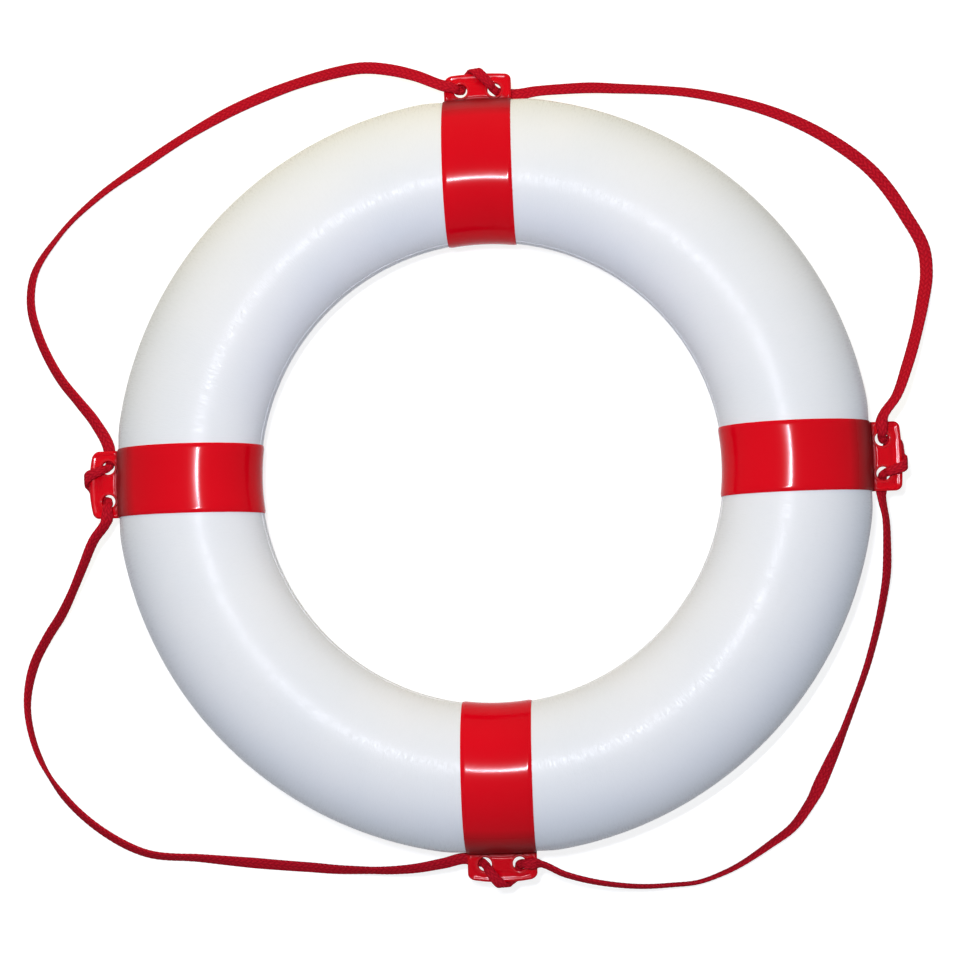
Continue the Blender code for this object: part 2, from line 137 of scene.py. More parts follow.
def keep_mesh(work, name):
    """Keeps what a bmesh holds as a new mesh."""
    mesh = bpy.data.meshes.new(name)
    work.to_mesh(mesh)
    work.free()
    return mesh


def shade_smooth(mesh, sharp=SHARP_ANGLE):
    """Shades a mesh smooth, and keeps the edges sharp that bend more than this."""
    mesh.shade_smooth()
    if sharp:
        mesh.set_sharp_from_angle(angle=sharp)
    return mesh


def finish_mesh(mesh, sharp=SHARP_ANGLE):
    """Merges doubles, turns the faces outwards and shades them smooth."""
    work = bmesh.new()
    work.from_mesh(mesh)
    bmesh.ops.remove_doubles(work, verts=work.verts, dist=MERGE)
    bmesh.ops.recalc_face_normals(work, faces=work.faces)
    work.to_mesh(mesh)
    work.free()
    return shade_smooth(mesh, sharp)


def add_piece(name, mesh, material, slot, *nodes):
    mesh.materials.append(material)
    piece = bpy.data.objects.new(name, mesh)
    bpy.context.scene.collection.objects.link(piece)
    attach(piece, "root")
    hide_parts(*nodes)
    print(f"{name}: {len(mesh.polygons)} faces")
    return piece


# %% [markdown]
# A node material is easier to read when each node is one call. This helper adds a
# node, sets its options, and joins each input to another node's output or gives it
# a plain value.


# %% Helpers for materials
def add_node(tree, kind, inputs=None, **options):
    node = tree.nodes.new(kind)
    for option, value in options.items():
        setattr(node, option, value)
    for name, value in (inputs or {}).items():
        if isinstance(value, bpy.types.NodeSocket):
            tree.links.new(value, node.inputs[name])
        else:
            node.inputs[name].default_value = value
    return node


def maths(tree, operation, *values):
    inputs = dict(enumerate(values))
    return add_node(tree, "ShaderNodeMath", inputs, operation=operation).outputs[0]


def ramp(tree, value, low, high, start=0.0, stop=1.0):
    """A value moved from one range to another, and kept inside the second."""
    inputs = {"Value": value, 1: low, 2: high, 3: start, 4: stop}
    return add_node(tree, "ShaderNodeMapRange", inputs).outputs[0]


def mix_colour(tree, share, first, second):
    inputs = {0: share, 6: first, 7: second}
    return add_node(tree, "ShaderNodeMix", inputs, data_type="RGBA").outputs[2]


def new_material(name, **sockets):
    """A material whose shader has these plain values in its own sockets."""
    material = bpy.data.materials.new(name)
    material.use_nodes = True
    tree = material.node_tree
    shader = tree.nodes["Principled BSDF"]
    for socket, value in sockets.items():
        shader.inputs[socket.replace("_", " ")].default_value = value
    return material, tree, shader


def connect(tree, shader, **sockets):
    """Joins the outputs of other nodes to the shader's sockets."""
    for socket, value in sockets.items():
        tree.links.new(value, shader.inputs[socket.replace("_", " ")])


def noise(tree, vector, scale, detail=2.0, roughness=0.5):
    inputs = {"Vector": vector, "Scale": scale, "Detail": detail, "Roughness": roughness}
    return add_node(tree, "ShaderNodeTexNoise", inputs).outputs["Fac"]


def bump(tree, height, distance, normal=None):
    inputs = {"Height": height, "Distance": distance, "Strength": 1.0}
    if normal:
        inputs["Normal"] = normal
    return add_node(tree, "ShaderNodeBump", inputs).outputs["Normal"]


# %% [markdown]
# ## The grab line
# The line is a hollow braid that lies flat like a ribbon, about 12 mm wide and
# 4.3 mm thick. It is one line: it comes in over a tab's left side, goes down through
# the first eyelet, up round the tab's outer edge, down through the second eyelet and
# away behind the tab's right side, and then it sags to the floor and lies there in a
# loose bow until the next tab. A curve with a round bevel can't show a flat ribbon
# that twists, so each piece is a fine grid that is rolled into a tube along the route.
#
# The route comes first. In a tab's own frame +Y points outwards, +X clockwise in the
# picture, and Z is above the tab's middle.

# %% Sizes of the line
# How wide and thick it is where it is free, in an eyelet, and round a tab's edge. It
# is a little narrower already where it comes to a tab and where it leaves.
LINE_WIDTH = 0.0122
LINE_THICKNESS = 0.0043
LACED_WIDTH = 0.0078
LACED_THICKNESS = 0.006
WRAP_WIDTH = 0.0105
WRAP_THICKNESS = 0.0046
ENTRY_WIDTH = 0.95 * LINE_WIDTH
EXIT_WIDTH = 0.9 * LINE_WIDTH

# The gap it keeps from a tab, the reach of its bend at an eyelet, how far it moves
# along a tab's edge as it crosses it, and how far it is pulled to an eyelet's rim.
LINE_CLEARANCE = 0.0004
LINE_BEND = 0.0056
LINE_LEAN = 0.004
RIM_HUG = 0.0026
CAD_LINE_RADIUS = 0.004

# Half a tab's thickness, which is one ply and half the slit, and how far the bead
# along its edge stands out above that.
PLY_TOP = 0.00135
BEAD_LIFT = 0.00075

# How high the line lies where it comes to an eyelet.
LACED_HEIGHT = FLANGE_TOP + LACED_THICKNESS / 2 + LINE_CLEARANCE
DIAGONAL = sin(radians(45))

# For each tab: its turn about Z, then where the line comes in, crosses the outer
# edge and leaves, the first and last measured outwards from the eyelets, and how far
# inside the outer edge it lies behind the first eyelet.
TABS = {
    "top": (0, 0.005, -0.003, -0.0035, 0.007),
    "right": (-90, 0, 0.006, -0.0015, 0.0025),
    "bottom": (180, -0.0005, -0.001, -0.0045, 0.007),
    "left": (90, 0.0005, 0.004, 0.0005, 0.007),
}

# How far each tab's outer edge stands out in its middle, and then draws back.
TAB_EDGES = {
    "top": (0, 0.0018),
    "right": (0.0012, 0.0016),
    "bottom": (0, 0.0033),
    "left": (0.002, 0.0042),
}


def edge_bow(side, aside):
    proud, bow = TAB_EDGES[side]
    return proud - bow * (2 * aside / BAND_WIDTH) ** 2


# %% [markdown]
# Over a tab the route is worked out from the places of the eyelets and the tab's
# edge. The line needs room to bend, so at each eyelet it comes down in a quarter turn
# on one side and goes away in another on the other side.


# %% The laced route over a tab
def level_way(start, stop):
    """The level direction from one place to another."""
    way = np.array([*np.subtract(stop[:2], start[:2]), 0])
    return way / np.linalg.norm(way)


def through_eyelet(aside, coming_from, going_to):
    """From the front, down through an eyelet and away behind the tab."""
    hole = np.array([aside, EYELET_OUT, 0])
    straight = LACED_HEIGHT - LINE_BEND
    shoulder = LINE_BEND * (1 - DIAGONAL)
    towards, away = level_way(hole, coming_from), level_way(hole, going_to)
    up = np.array([0, 0, 1])
    front, back = hole + towards * RIM_HUG, hole + away * RIM_HUG / 3
    return [
        front + towards * LINE_BEND + up * LACED_HEIGHT,
        front + towards * shoulder + up * (LACED_HEIGHT - shoulder),
        front + up * straight,
        back - up * straight,
        back + away * shoulder - up * (LACED_HEIGHT - shoulder),
        back + away * LINE_BEND - up * LACED_HEIGHT,
    ]


def lacing_route(side):
    _, arrives, crosses, leaves, inside = TABS[side]
    corner = WRAP_THICKNESS / 2 + LINE_CLEARANCE
    slanted = corner * DIAGONAL
    near = PLY_TOP + BEAD_LIFT + corner
    edge = TAB_END + edge_bow(side, crosses)
    enters = (-BAND_WIDTH / 2, EYELET_OUT + arrives, LACED_HEIGHT)
    behind_hole = (-EYELET_ASIDE + LINE_LEAN / 2, TAB_END - inside, -LACED_HEIGHT)
    behind_edge = (crosses - LINE_LEAN, edge, -near)
    before_edge = (crosses + LINE_LEAN, edge, near)
    exits = (BAND_WIDTH / 2, EYELET_OUT + leaves, -LACED_HEIGHT)
    return [
        enters,
        *through_eyelet(-EYELET_ASIDE, enters, behind_hole),
        behind_hole,
        behind_edge,
        (crosses - LINE_LEAN / 2, edge + slanted, -PLY_TOP - slanted),
        (crosses, edge + corner, 0),
        (crosses + LINE_LEAN / 2, edge + slanted, PLY_TOP + slanted),
        before_edge,
        *through_eyelet(EYELET_ASIDE, before_edge, exits),
        exits,
    ]


def tab_turn(side):
    turn = radians(TABS[side][0])
    return np.array([[cos(turn), -sin(turn), 0], [sin(turn), cos(turn), 0], [0, 0, 1]])


def from_tab(side, places):
    """Places on a tab, from its own frame to the ring's."""
    return np.array(places) @ tab_turn(side).T + (0, 0, MID_HEIGHT)


# %% [markdown]
# The free stretches follow the same listed points as the CAD model's round
# stand-in. The line hangs down beside the tab and lies on the floor between.

# %% The free stretches
FLOOR_GAP = 0.0003
LIE = CAD_LINE_RADIUS + FLOOR_GAP
STRETCHES = {
    "top_right": [
        (0.057, 0.368, 0.044),
        (0.083, 0.371, 0.037),
        (0.110, 0.374, 0.027),
        (0.137, 0.375, 0.016),
        (0.164, 0.375, 0.008),
        (0.191, 0.373, LIE),
        (0.243, 0.362, LIE),
        (0.294, 0.344, LIE),
        (0.340, 0.318, LIE),
        (0.381, 0.283, LIE),
        (0.410, 0.239, LIE),
        (0.427, 0.200, LIE),
        (0.427, 0.180, 0.007),
        (0.420, 0.150, 0.016),
        (0.409, 0.117, 0.031),
        (0.396, 0.085, 0.048),
        (0.383, 0.056, 0.058),
    ],
    "bottom_right": [
        (0.370, -0.059, 0.044),
        (0.371, -0.084, 0.037),
        (0.371, -0.110, 0.027),
        (0.368, -0.135, 0.016),
        (0.363, -0.160, 0.008),
        (0.356, -0.185, LIE),
        (0.337, -0.234, LIE),
        (0.316, -0.281, LIE),
        (0.291, -0.327, LIE),
        (0.275, -0.347, LIE),
        (0.254, -0.362, LIE),
        (0.209, -0.388, LIE),
        (0.184, -0.396, 0.007),
        (0.158, -0.397, 0.015),
        (0.132, -0.396, 0.026),
        (0.107, -0.392, 0.039),
        (0.082, -0.386, 0.050),
        (0.058, -0.378, 0.058),
    ],
    "bottom_left": [
        (-0.056, -0.368, 0.044),
        (-0.082, -0.373, 0.037),
        (-0.109, -0.376, 0.027),
        (-0.136, -0.377, 0.016),
        (-0.164, -0.377, 0.008),
        (-0.191, -0.375, LIE),
        (-0.244, -0.370, LIE),
        (-0.297, -0.364, LIE),
        (-0.351, -0.358, LIE),
        (-0.398, -0.333, LIE),
        (-0.436, -0.296, LIE),
        (-0.461, -0.248, LIE),
        (-0.467, -0.208, LIE),
        (-0.459, -0.172, 0.007),
        (-0.443, -0.146, 0.015),
        (-0.425, -0.124, 0.026),
        (-0.409, -0.101, 0.039),
        (-0.395, -0.077, 0.050),
        (-0.382, -0.053, 0.058),
    ],
    "top_left": [
        (-0.383, 0.061, 0.044),
        (-0.401, 0.083, 0.037),
        (-0.421, 0.106, 0.027),
        (-0.438, 0.131, 0.016),
        (-0.451, 0.157, 0.008),
        (-0.459, 0.185, LIE),
        (-0.457, 0.213, LIE),
        (-0.428, 0.258, LIE),
        (-0.388, 0.295, LIE),
        (-0.343, 0.325, LIE),
        (-0.297, 0.353, LIE),
        (-0.248, 0.378, LIE),
        (-0.197, 0.396, 0.007),
        (-0.169, 0.401, 0.015),
        (-0.142, 0.403, 0.026),
        (-0.113, 0.402, 0.039),
        (-0.085, 0.395, 0.050),
        (-0.059, 0.385, 0.058),
    ],
}

# %% [markdown]
# A flat braid shows its full width where it lies on its face and only its thickness
# where it stands on edge. Each free stretch therefore has a twist: how far, in
# degrees, the ribbon has turned about its own middle at each distance, in metres,
# from the tab that it leaves.

# %% The ribbon's twist
TWISTS = {
    "top_right": [(0, 10), (0.03, 25), (0.08, 15), (0.13, 30), (0.16, 35), (0.22, 25), (0.28, 10)]
    + [(0.34, -5), (0.42, -15), (0.46, -10), (0.51, -15), (0.55, -40), (0.6, -42)]
    + [(0.64, -56), (0.665, -50)],
    "bottom_right": [(0, 40), (0.02, 58), (0.07, 45), (0.13, 55), (0.2, 62), (0.24, 55)]
    + [(0.285, 10), (0.31, -50), (0.35, -65), (0.4, -85), (0.45, -100), (0.52, -110)]
    + [(0.59, -117), (0.614, -120)],
    "bottom_left": [(0, 25), (0.05, 40), (0.1, 55), (0.15, 37), (0.22, 28), (0.29, 55)]
    + [(0.35, 45), (0.43, 50), (0.47, 88), (0.52, 95), (0.56, 115), (0.62, 120)]
    + [(0.66, 108), (0.72, 120), (0.742, 125)],
    "top_left": [(0, 5), (0.03, 21), (0.07, 34), (0.21, 37), (0.25, 51), (0.27, 58), (0.29, 57)]
    + [(0.32, 48), (0.35, 42), (0.38, 29), (0.43, 30), (0.47, 14), (0.52, 8), (0.55, 15)]
    + [(0.61, 3), (0.66, 6), (0.69, 15), (0.72, 22)],
}

# %% [markdown]
# All the points make one closed loop. A smooth curve through them is measured, and
# each place on it gets its direction, the direction across the ribbon, and how wide
# and thick the braid is there. Beside a tab the braid is squeezed to pass the
# eyelets.

# %% One smooth loop
CURVE_STEPS = 40
LINE_STEP = 0.00065

order = ["top", "top_right", "right", "bottom_right", "bottom", "bottom_left", "left", "top_left"]
route = [from_tab(n, lacing_route(n)) if n in TABS else np.array(STRETCHES[n]) for n in order]
first_index = dict(zip(order, np.cumsum([0] + [len(part) for part in route])))
route = np.vstack(route)


def unit(vectors):
    return vectors / np.linalg.norm(vectors, axis=-1, keepdims=True)


def lengths_along(points):
    """How far along a row of points each one lies."""
    return np.concatenate([[0], np.cumsum(np.linalg.norm(np.diff(points, axis=0), axis=1))])


def interpolate(wanted, places, values):
    """Rows of values at the wanted places."""
    return np.stack([np.interp(wanted, places, column) for column in values.T], axis=1)


def smooth_loop(points):
    """Closely spaced points on a smooth closed curve through these points."""
    steps = np.roll(points, -1, axis=0) - points
    after = np.linalg.norm(steps, axis=1)[:, None]
    before = np.roll(after, 1, axis=0)
    headings = steps / after
    tangents = (after * np.roll(headings, 1, axis=0) + before * headings) / (before + after)
    t = np.linspace(0, 1, CURVE_STEPS, endpoint=False)[None, :, None]
    start, stop = points[:, None], np.roll(points, -1, axis=0)[:, None]
    leave, reach = tangents * after, np.roll(tangents, -1, axis=0) * after
    curve = (
        start * (2 * t**3 - 3 * t**2 + 1)
        + leave[:, None] * (t**3 - 2 * t**2 + t)
        + stop * (3 * t**2 - 2 * t**3)
        + reach[:, None] * (t**3 - t**2)
    )
    curve = curve.reshape(-1, 3)
    return np.vstack([curve, curve[:1]])


rough = smooth_loop(route)
rough_along = lengths_along(rough)
route_along = rough_along[::CURVE_STEPS]
LINE_LENGTH = rough_along[-1]
along = np.linspace(0, LINE_LENGTH, int(LINE_LENGTH / LINE_STEP) + 1)[:-1]
middle = interpolate(along, rough_along, rough)
print(f"the whole line: {LINE_LENGTH:.3f} m in {len(along)} steps")

# %% [markdown]
# Over a tab a few keys say which way is across the ribbon: level beside the eyelets,
# and along the tab's edge where the line crosses it. On a free stretch it is level
# and then turned by the twist. A ribbon has no front or back, so either side may be
# taken first, and `sign` picks the one that goes on from the last piece without a
# flip.

# %% Tools for the ribbon's directions
SMOOTHING = 0.008

# Numbers of the places on a tab's laced route, from where the line comes in.
ENTERS, HOLE_1, BEHIND, CROSSES, BEFORE, HOLE_2, EXITS = 0, 3, 8, 10, 12, 15, 19


def span(name):
    """Where a piece of the line starts and stops, as distances along the loop."""
    first = first_index[name]
    if name in TABS:
        return route_along[first], route_along[first + EXITS]
    return route_along[first - 1], route_along[first + len(STRETCHES[name])]


def slide_mean(values, reach=SMOOTHING):
    """A moving average round the loop."""
    count = max(1, int(reach / LINE_STEP))
    window = np.hanning(2 * count + 1)
    padded = np.concatenate([values[-count:], values, values[:count]])
    columns = [np.convolve(column, window / window.sum(), "valid") for column in padded.T]
    return np.stack(columns, axis=1)


def loop_heading(points):
    """Which way the loop runs at each of its points."""
    return unit(np.roll(points, -1, axis=0) - np.roll(points, 1, axis=0))


def level_across(heading):
    """The level direction to the left of each heading."""
    return unit(np.stack([-heading[..., 1], heading[..., 0], 0 * heading[..., 0]], axis=-1))


# %% Which way the ribbon faces
heading = loop_heading(middle)
across = np.zeros_like(middle)
half_width = np.full(len(along), LINE_WIDTH / 2)
half_thickness = np.full(len(along), LINE_THICKNESS / 2)
tilt = np.zeros(len(along))


def face_over_tab(name, sign):
    """Sets how the ribbon faces over a tab, and how it is squeezed there."""
    start, stop = span(name)
    here = (along >= start) & (along <= stop)
    first = first_index[name]
    to_hole_1 = -level_across(route[first + 1] - route[first + ENTERS])
    to_edge = -level_across(route[first + BEHIND] - route[first + HOLE_1])
    from_edge = level_across(route[first + HOLE_2] - route[first + BEFORE])
    to_exit = level_across(route[first + EXITS] - route[first + EXITS - 1])
    sideways, outwards, upwards = tab_turn(name).T
    on_edge = sideways * (to_edge + from_edge).dot(sideways)
    on_edge = unit(on_edge + upwards * (to_edge - from_edge).dot(outwards))
    keys = [
        (ENTERS, to_hole_1, ENTRY_WIDTH, LINE_THICKNESS),
        (HOLE_1, to_hole_1, LACED_WIDTH, LACED_THICKNESS),
        (HOLE_1 + 1, to_edge, LACED_WIDTH, LACED_THICKNESS),
        (BEHIND, to_edge, WRAP_WIDTH, WRAP_THICKNESS),
        (CROSSES, on_edge, WRAP_WIDTH, WRAP_THICKNESS),
        (BEFORE, from_edge, WRAP_WIDTH, WRAP_THICKNESS),
        (HOLE_2, from_edge, LACED_WIDTH, LACED_THICKNESS),
        (HOLE_2 + 1, to_exit, LACED_WIDTH, LACED_THICKNESS),
        (EXITS, to_exit, EXIT_WIDTH, LINE_THICKNESS),
    ]
    numbers, ways, widths, thicknesses = zip(*keys)
    places = route_along[first + np.array(numbers)]
    across[here] = sign * interpolate(along[here], places, np.array(ways))
    half_width[here] = np.interp(along[here], places, widths) / 2
    half_thickness[here] = np.interp(along[here], places, thicknesses) / 2


def face_free(name, sign):
    """Turns the ribbon by its twist along a free stretch, and answers its last turn."""
    start, stop = span(name)
    here = (along > start) & (along < stop)
    distances, degrees = zip(*TWISTS[name])
    stretched = np.array(distances) * (stop - start) / distances[-1]
    turn = np.radians(np.interp(along[here] - start, stretched, degrees))
    level = level_across(heading[here])
    upright = np.cross(level, heading[here])
    across[here] = sign * (level * np.cos(turn)[:, None] + upright * np.sin(turn)[:, None])
    tilt[here] = turn
    print(f"{name}: {stop - start:.3f} m free")
    return turn[-1]


sign = 1.0
for name in order:
    if name in TABS:
        face_over_tab(name, sign)
    else:
        sign = -sign * np.sign(cos(face_free(name, sign)))

across = slide_mean(across)
tilt, half_width, half_thickness = slide_mean(np.stack([tilt, half_width, half_thickness], axis=1)).T

# %% [markdown]
# The CAD stand-in is a round line 8 mm thick, so its middle lies 4 mm above what it
# rests on. A ribbon's middle lies lower where it is flat and higher where it stands
# on edge. Each free stretch is moved up or down by that difference.

# %% How high the ribbon lies
LINE_LIFT = 0.0004
EASE_LENGTH = 0.04
HEIGHT_SMOOTHING = 0.003


def smooth_step(share):
    """From 0 to 1 with a soft start and a soft end."""
    share = np.clip(share, 0, 1)
    return share**2 * (3 - 2 * share)


standing = np.sqrt((half_width * np.sin(tilt)) ** 2 + (half_thickness * np.cos(tilt)) ** 2)
free = np.zeros(len(along))
for name in STRETCHES:
    start, stop = span(name)
    to_tab = np.minimum(along - start, stop - along)
    free = np.maximum(free, smooth_step(to_tab / EASE_LENGTH))
middle[:, 2] += free * (standing - CAD_LINE_RADIUS)
middle[:, 2] = np.maximum(middle[:, 2], standing + LINE_LIFT)
middle = slide_mean(middle, HEIGHT_SMOOTHING)
heading = loop_heading(middle)
across = unit(across - heading * np.sum(across * heading, axis=1, keepdims=True))
thin = np.cross(heading, across)
print(f"lowest point of the line: {(middle[:, 2] - standing).min() * 1000:.2f} mm")

# %% [markdown]
# The braid has sixteen strands, eight each way, and every strand passes over two and
# under two. With one number counting strands each way, a and b, a strand of the
# first set is on top where sin of its place in the pattern is positive. The same two
# numbers are the piece's UV map, so the material draws the strands exactly where the
# mesh is raised.

# %% The braid's relief
STRANDS = 8
WANTED_PITCH = 0.0056
RELIEF = 0.0003
MEAN_HEIGHT = 0.6

# The pattern repeats after four strands, and whole repeats close the loop.
STRAND_PITCH = LINE_LENGTH / (4 * round(LINE_LENGTH / 4 / WANTED_PITCH))


def strand_numbers(round_it, distance):
    """Both sets' strand numbers, from a share round the line and a distance along it."""
    sideways, forwards = STRANDS * round_it, distance / STRAND_PITCH
    return sideways + forwards, sideways - forwards


def braid_height(a, b):
    """0 in the gaps and 1 on the crown of a strand that lies over two others."""
    crown_a = 1 - (2 * (a % 1) - 1) ** 2
    crown_b = 1 - (2 * (b % 1) - 1) ** 2
    over_a = np.sin(pi / 2 * ((b + np.floor(a)) % 4))
    over_b = -np.sin(pi / 2 * ((a + np.floor(b)) % 4))
    return np.maximum(0.5 * crown_a + 0.5 * over_a, 0.5 * crown_b + 0.5 * over_b)


def relief(round_it, distance):
    """How far the strands stand out from the line's mean surface."""
    return RELIEF * (braid_height(*strand_numbers(round_it, distance)) - MEAN_HEIGHT)


# %% [markdown]
# The section is a superellipse, a shape between an ellipse and a rectangle. Its
# points are spread evenly round it, so that the strands keep their width.

# %% The section of the line
ROUND_STEPS = 56
SQUARENESS = 2.4
CLOSE_POINTS = 4001


def even_section():
    """Evenly spaced points round the section, as shares of its half sizes."""
    t = np.linspace(0, 2 * pi, CLOSE_POINTS)
    shape = np.stack([np.cos(t), np.sin(t)], axis=1)
    shape = np.sign(shape) * np.abs(shape) ** (2 / SQUARENESS)
    walked = lengths_along(shape * (LINE_WIDTH / 2, LINE_THICKNESS / 2))
    return interpolate(np.linspace(0, walked[-1], ROUND_STEPS + 1), walked, shape)


section = even_section()


# %% [markdown]
# `rolled_grid` makes a flat grid with a bmesh operator and hands each point's place
# in it, from 0 to 1 each way, to a function that answers where the point belongs.
# Where the grid's two sides meet they are merged, and the open ends get a face. The
# grid brings its own UV map, which is then rewritten as strand numbers.


# %% A grid rolled into a tube
def rolled_grid(name, columns, rows, place, sharp=None):
    work = bmesh.new()
    work.loops.layers.uv.new("UVMap")
    bmesh.ops.create_grid(work, x_segments=columns, y_segments=rows, size=0.5, calc_uvs=True)
    mesh = keep_mesh(work, name)
    flat = read_points(mesh) + 0.5
    move_points(mesh, place(flat[:, 0], flat[:, 1]))
    work = bmesh.new()
    work.from_mesh(mesh)
    bmesh.ops.remove_doubles(work, verts=work.verts, dist=MERGE)
    bmesh.ops.holes_fill(work, edges=[edge for edge in work.edges if edge.is_boundary])
    work.to_mesh(mesh)
    work.free()
    return finish_mesh(mesh, sharp)


def number_strands(mesh, start, length):
    """Turns a rolled grid's UV map from shares of it into strand numbers."""
    corners = mesh.uv_layers["UVMap"].data
    flat = np.empty(len(corners) * 2)
    corners.foreach_get("uv", flat)
    round_it, share = flat.reshape(-1, 2).T
    numbers = strand_numbers(round_it, start + share * length)
    corners.foreach_set("uv", np.stack(numbers, axis=1).ravel())
    return mesh


# %% One piece of the line
def sample(values, distance):
    """Values of the closed loop at these distances along it."""
    places = np.append(along, LINE_LENGTH)
    closed = np.concatenate([values, values[:1]])
    wrapped = distance % LINE_LENGTH
    if closed.ndim == 1:
        return np.interp(wrapped, places, closed)
    return interpolate(wrapped, places, closed)


def line_mesh(name, start, stop):
    def place(round_it, share):
        distance = start + share * (stop - start)
        shape = section[np.rint(round_it * ROUND_STEPS).astype(int)]
        height = relief(round_it, distance)
        wide = (sample(half_width, distance) + height) * shape[:, 0]
        deep = (sample(half_thickness, distance) + height) * shape[:, 1]
        sideways = sample(across, distance) * wide[:, None]
        return sample(middle, distance) + sideways + sample(thin, distance) * deep[:, None]

    mesh = rolled_grid(name, ROUND_STEPS, int((stop - start) / LINE_STEP), place)
    return number_strands(mesh, start, stop - start)


# %% [markdown]
# The line's material follows the same pattern. It finds which strand is on top and
# how far across it the point lies. Shade is painted in: the strand is brightest on its
# crown and dark in the gaps. Fine filaments run along it, and a few pale painted glints
# stand in for highlights.


# %% The braid material
FILAMENTS = 14
FILAMENT_HEIGHT = 0.35
STRAND_BUMP = 0.00022
# Painted shade and glints: from which shade to which a strand goes from its deep,
# shaded colour to its bright one, and from which it gets pale painted glints, and how
# pale they are.
SHADES = (0.2, 1.1)
GLINT_RANGE = (0.72, 0.9, 0, 0.6)


def strand_wave(tree, this, other):
    """How high a strand of one set lies, from its own number and the other set's."""
    whole = maths(tree, "FLOOR", this)
    inside = maths(tree, "FLOORED_MODULO", maths(tree, "ADD", other, whole), 4)
    return maths(tree, "SINE", maths(tree, "MULTIPLY", inside, pi / 2))


def strand_crown(tree, number):
    """1 in the middle of a strand and 0 at its sides."""
    off = maths(tree, "MULTIPLY_ADD", maths(tree, "FRACT", number), 2, -1)
    return maths(tree, "SUBTRACT", 1, maths(tree, "MULTIPLY", off, off))


def filaments(tree, this, other):
    """Fine filaments that run along the strands of one set."""
    inputs = {0: maths(tree, "MULTIPLY", this, FILAMENTS), 1: other}
    stretched = add_node(tree, "ShaderNodeCombineXYZ", inputs).outputs[0]
    return noise(tree, stretched, scale=1.0, detail=1.0)


def braid_material(name, deep, bright, pale):
    material, tree, shader = new_material(name, Roughness=0.8, Specular_IOR_Level=0.05)
    numbers = add_node(tree, "ShaderNodeUVMap", uv_map="UVMap").outputs[0]
    a, b, _ = add_node(tree, "ShaderNodeSeparateXYZ", {0: numbers}).outputs
    height_a = maths(tree, "ADD", strand_crown(tree, a), strand_wave(tree, a, b))
    height_b = maths(tree, "SUBTRACT", strand_crown(tree, b), strand_wave(tree, b, a))
    height = maths(tree, "MAXIMUM", height_a, height_b)
    a_on_top = maths(tree, "GREATER_THAN", height_a, height_b)
    choose = {0: a_on_top, 2: filaments(tree, b, a), 3: filaments(tree, a, b)}
    fibres = add_node(tree, "ShaderNodeMix", choose).outputs[0]
    shade = maths(tree, "MULTIPLY_ADD", fibres, 0.5, maths(tree, "MULTIPLY", height, 0.5))
    # Painted shade, dark in the gaps and bright on the crowns, and pale painted glints.
    colour = mix_colour(tree, ramp(tree, shade, *SHADES), deep, bright)
    painted_glints = ramp(tree, maths(tree, "MULTIPLY", shade, fibres), *GLINT_RANGE)
    colour = mix_colour(tree, painted_glints, colour, pale)
    raised = maths(tree, "MULTIPLY_ADD", fibres, FILAMENT_HEIGHT, height)
    connect(tree, shader, Base_Color=colour, Normal=bump(tree, raised, STRAND_BUMP))
    return material


# deep is the painted shade in the gaps, and pale is the colour of the painted glints.
line_red = braid_material(
    "braided line",
    deep=(0.29, 0.003, 0.011, 1),
    bright=(0.52, 0.006, 0.018, 1),
    pale=(0.72, 0.08, 0.10, 1),
)

# %% [markdown]
# The four laced pieces are held by the eyelets. The four free ones hang and lie
# loosely.

for name in order:
    start, stop = span(name)
    piece = ("lacing_" if name in TABS else "grab_line_") + name
    rope = add_piece(piece + "_braid", line_mesh(piece, start, stop), line_red, "line_red", piece)
    if name in TABS:
        continue

# %% [markdown]
# ## The ring's skin
# The ring is blow moulded or vacuum formed from white plastic in two halves that
# are welded at the middle of the tube. A squashed torus would give the oval, but no
# wall and no seam. So each half is turned from an outline: the tube's oval, a rounded
# edge at each seam, and the inner face of the wall. The front half also has a fine
# moulded line low in its bore. Where a band is shrunk on, the ring's outer side is
# drawn in flat, which moves the turned points afterwards.

# %% The tube's section, and where the bands draw it in
SHELL_WALL = 0.0025
SEAM_ROUND = 0.0018
SEAM_GAP = 0.00015
RING_STEPS = 288
SKIN_POINTS = 84
WALL_POINTS = 30
MOULD_LINE_POINTS = 7
MOULD_LINE_TURN = radians(172)
MOULD_LINE_REACH = radians(1.1)
MOULD_LINE_DEPTH = 0.0009
# How softly the flat seat of a band begins, and how it fades towards the tube's top.
SEAT_EASE = 0.0006
SEAT_FADE = 1.5


def pull_in(points):
    """Draws the ring's outer side flat where a band is shrunk on."""
    x, y, z = points.T
    radius = np.hypot(x, y)
    bearing = np.arctan2(y, x)
    nearest = np.round(bearing / (pi / 2)) * (pi / 2)
    depth = RING_OUTER * np.cos(bearing - nearest) - SEAT_PLANE
    depth = (depth + np.sqrt(depth**2 + SEAT_EASE**2)) / 2
    turn = np.arctan2(z / TUBE_AXIAL, (radius - TUBE_MIDDLE) / TUBE_RADIAL)
    weight = np.maximum(0, np.cos(turn)) ** SEAT_FADE * depth
    inwards = np.stack([np.cos(nearest), np.sin(nearest), 0 * nearest], axis=1)
    return points - inwards * weight[:, None]


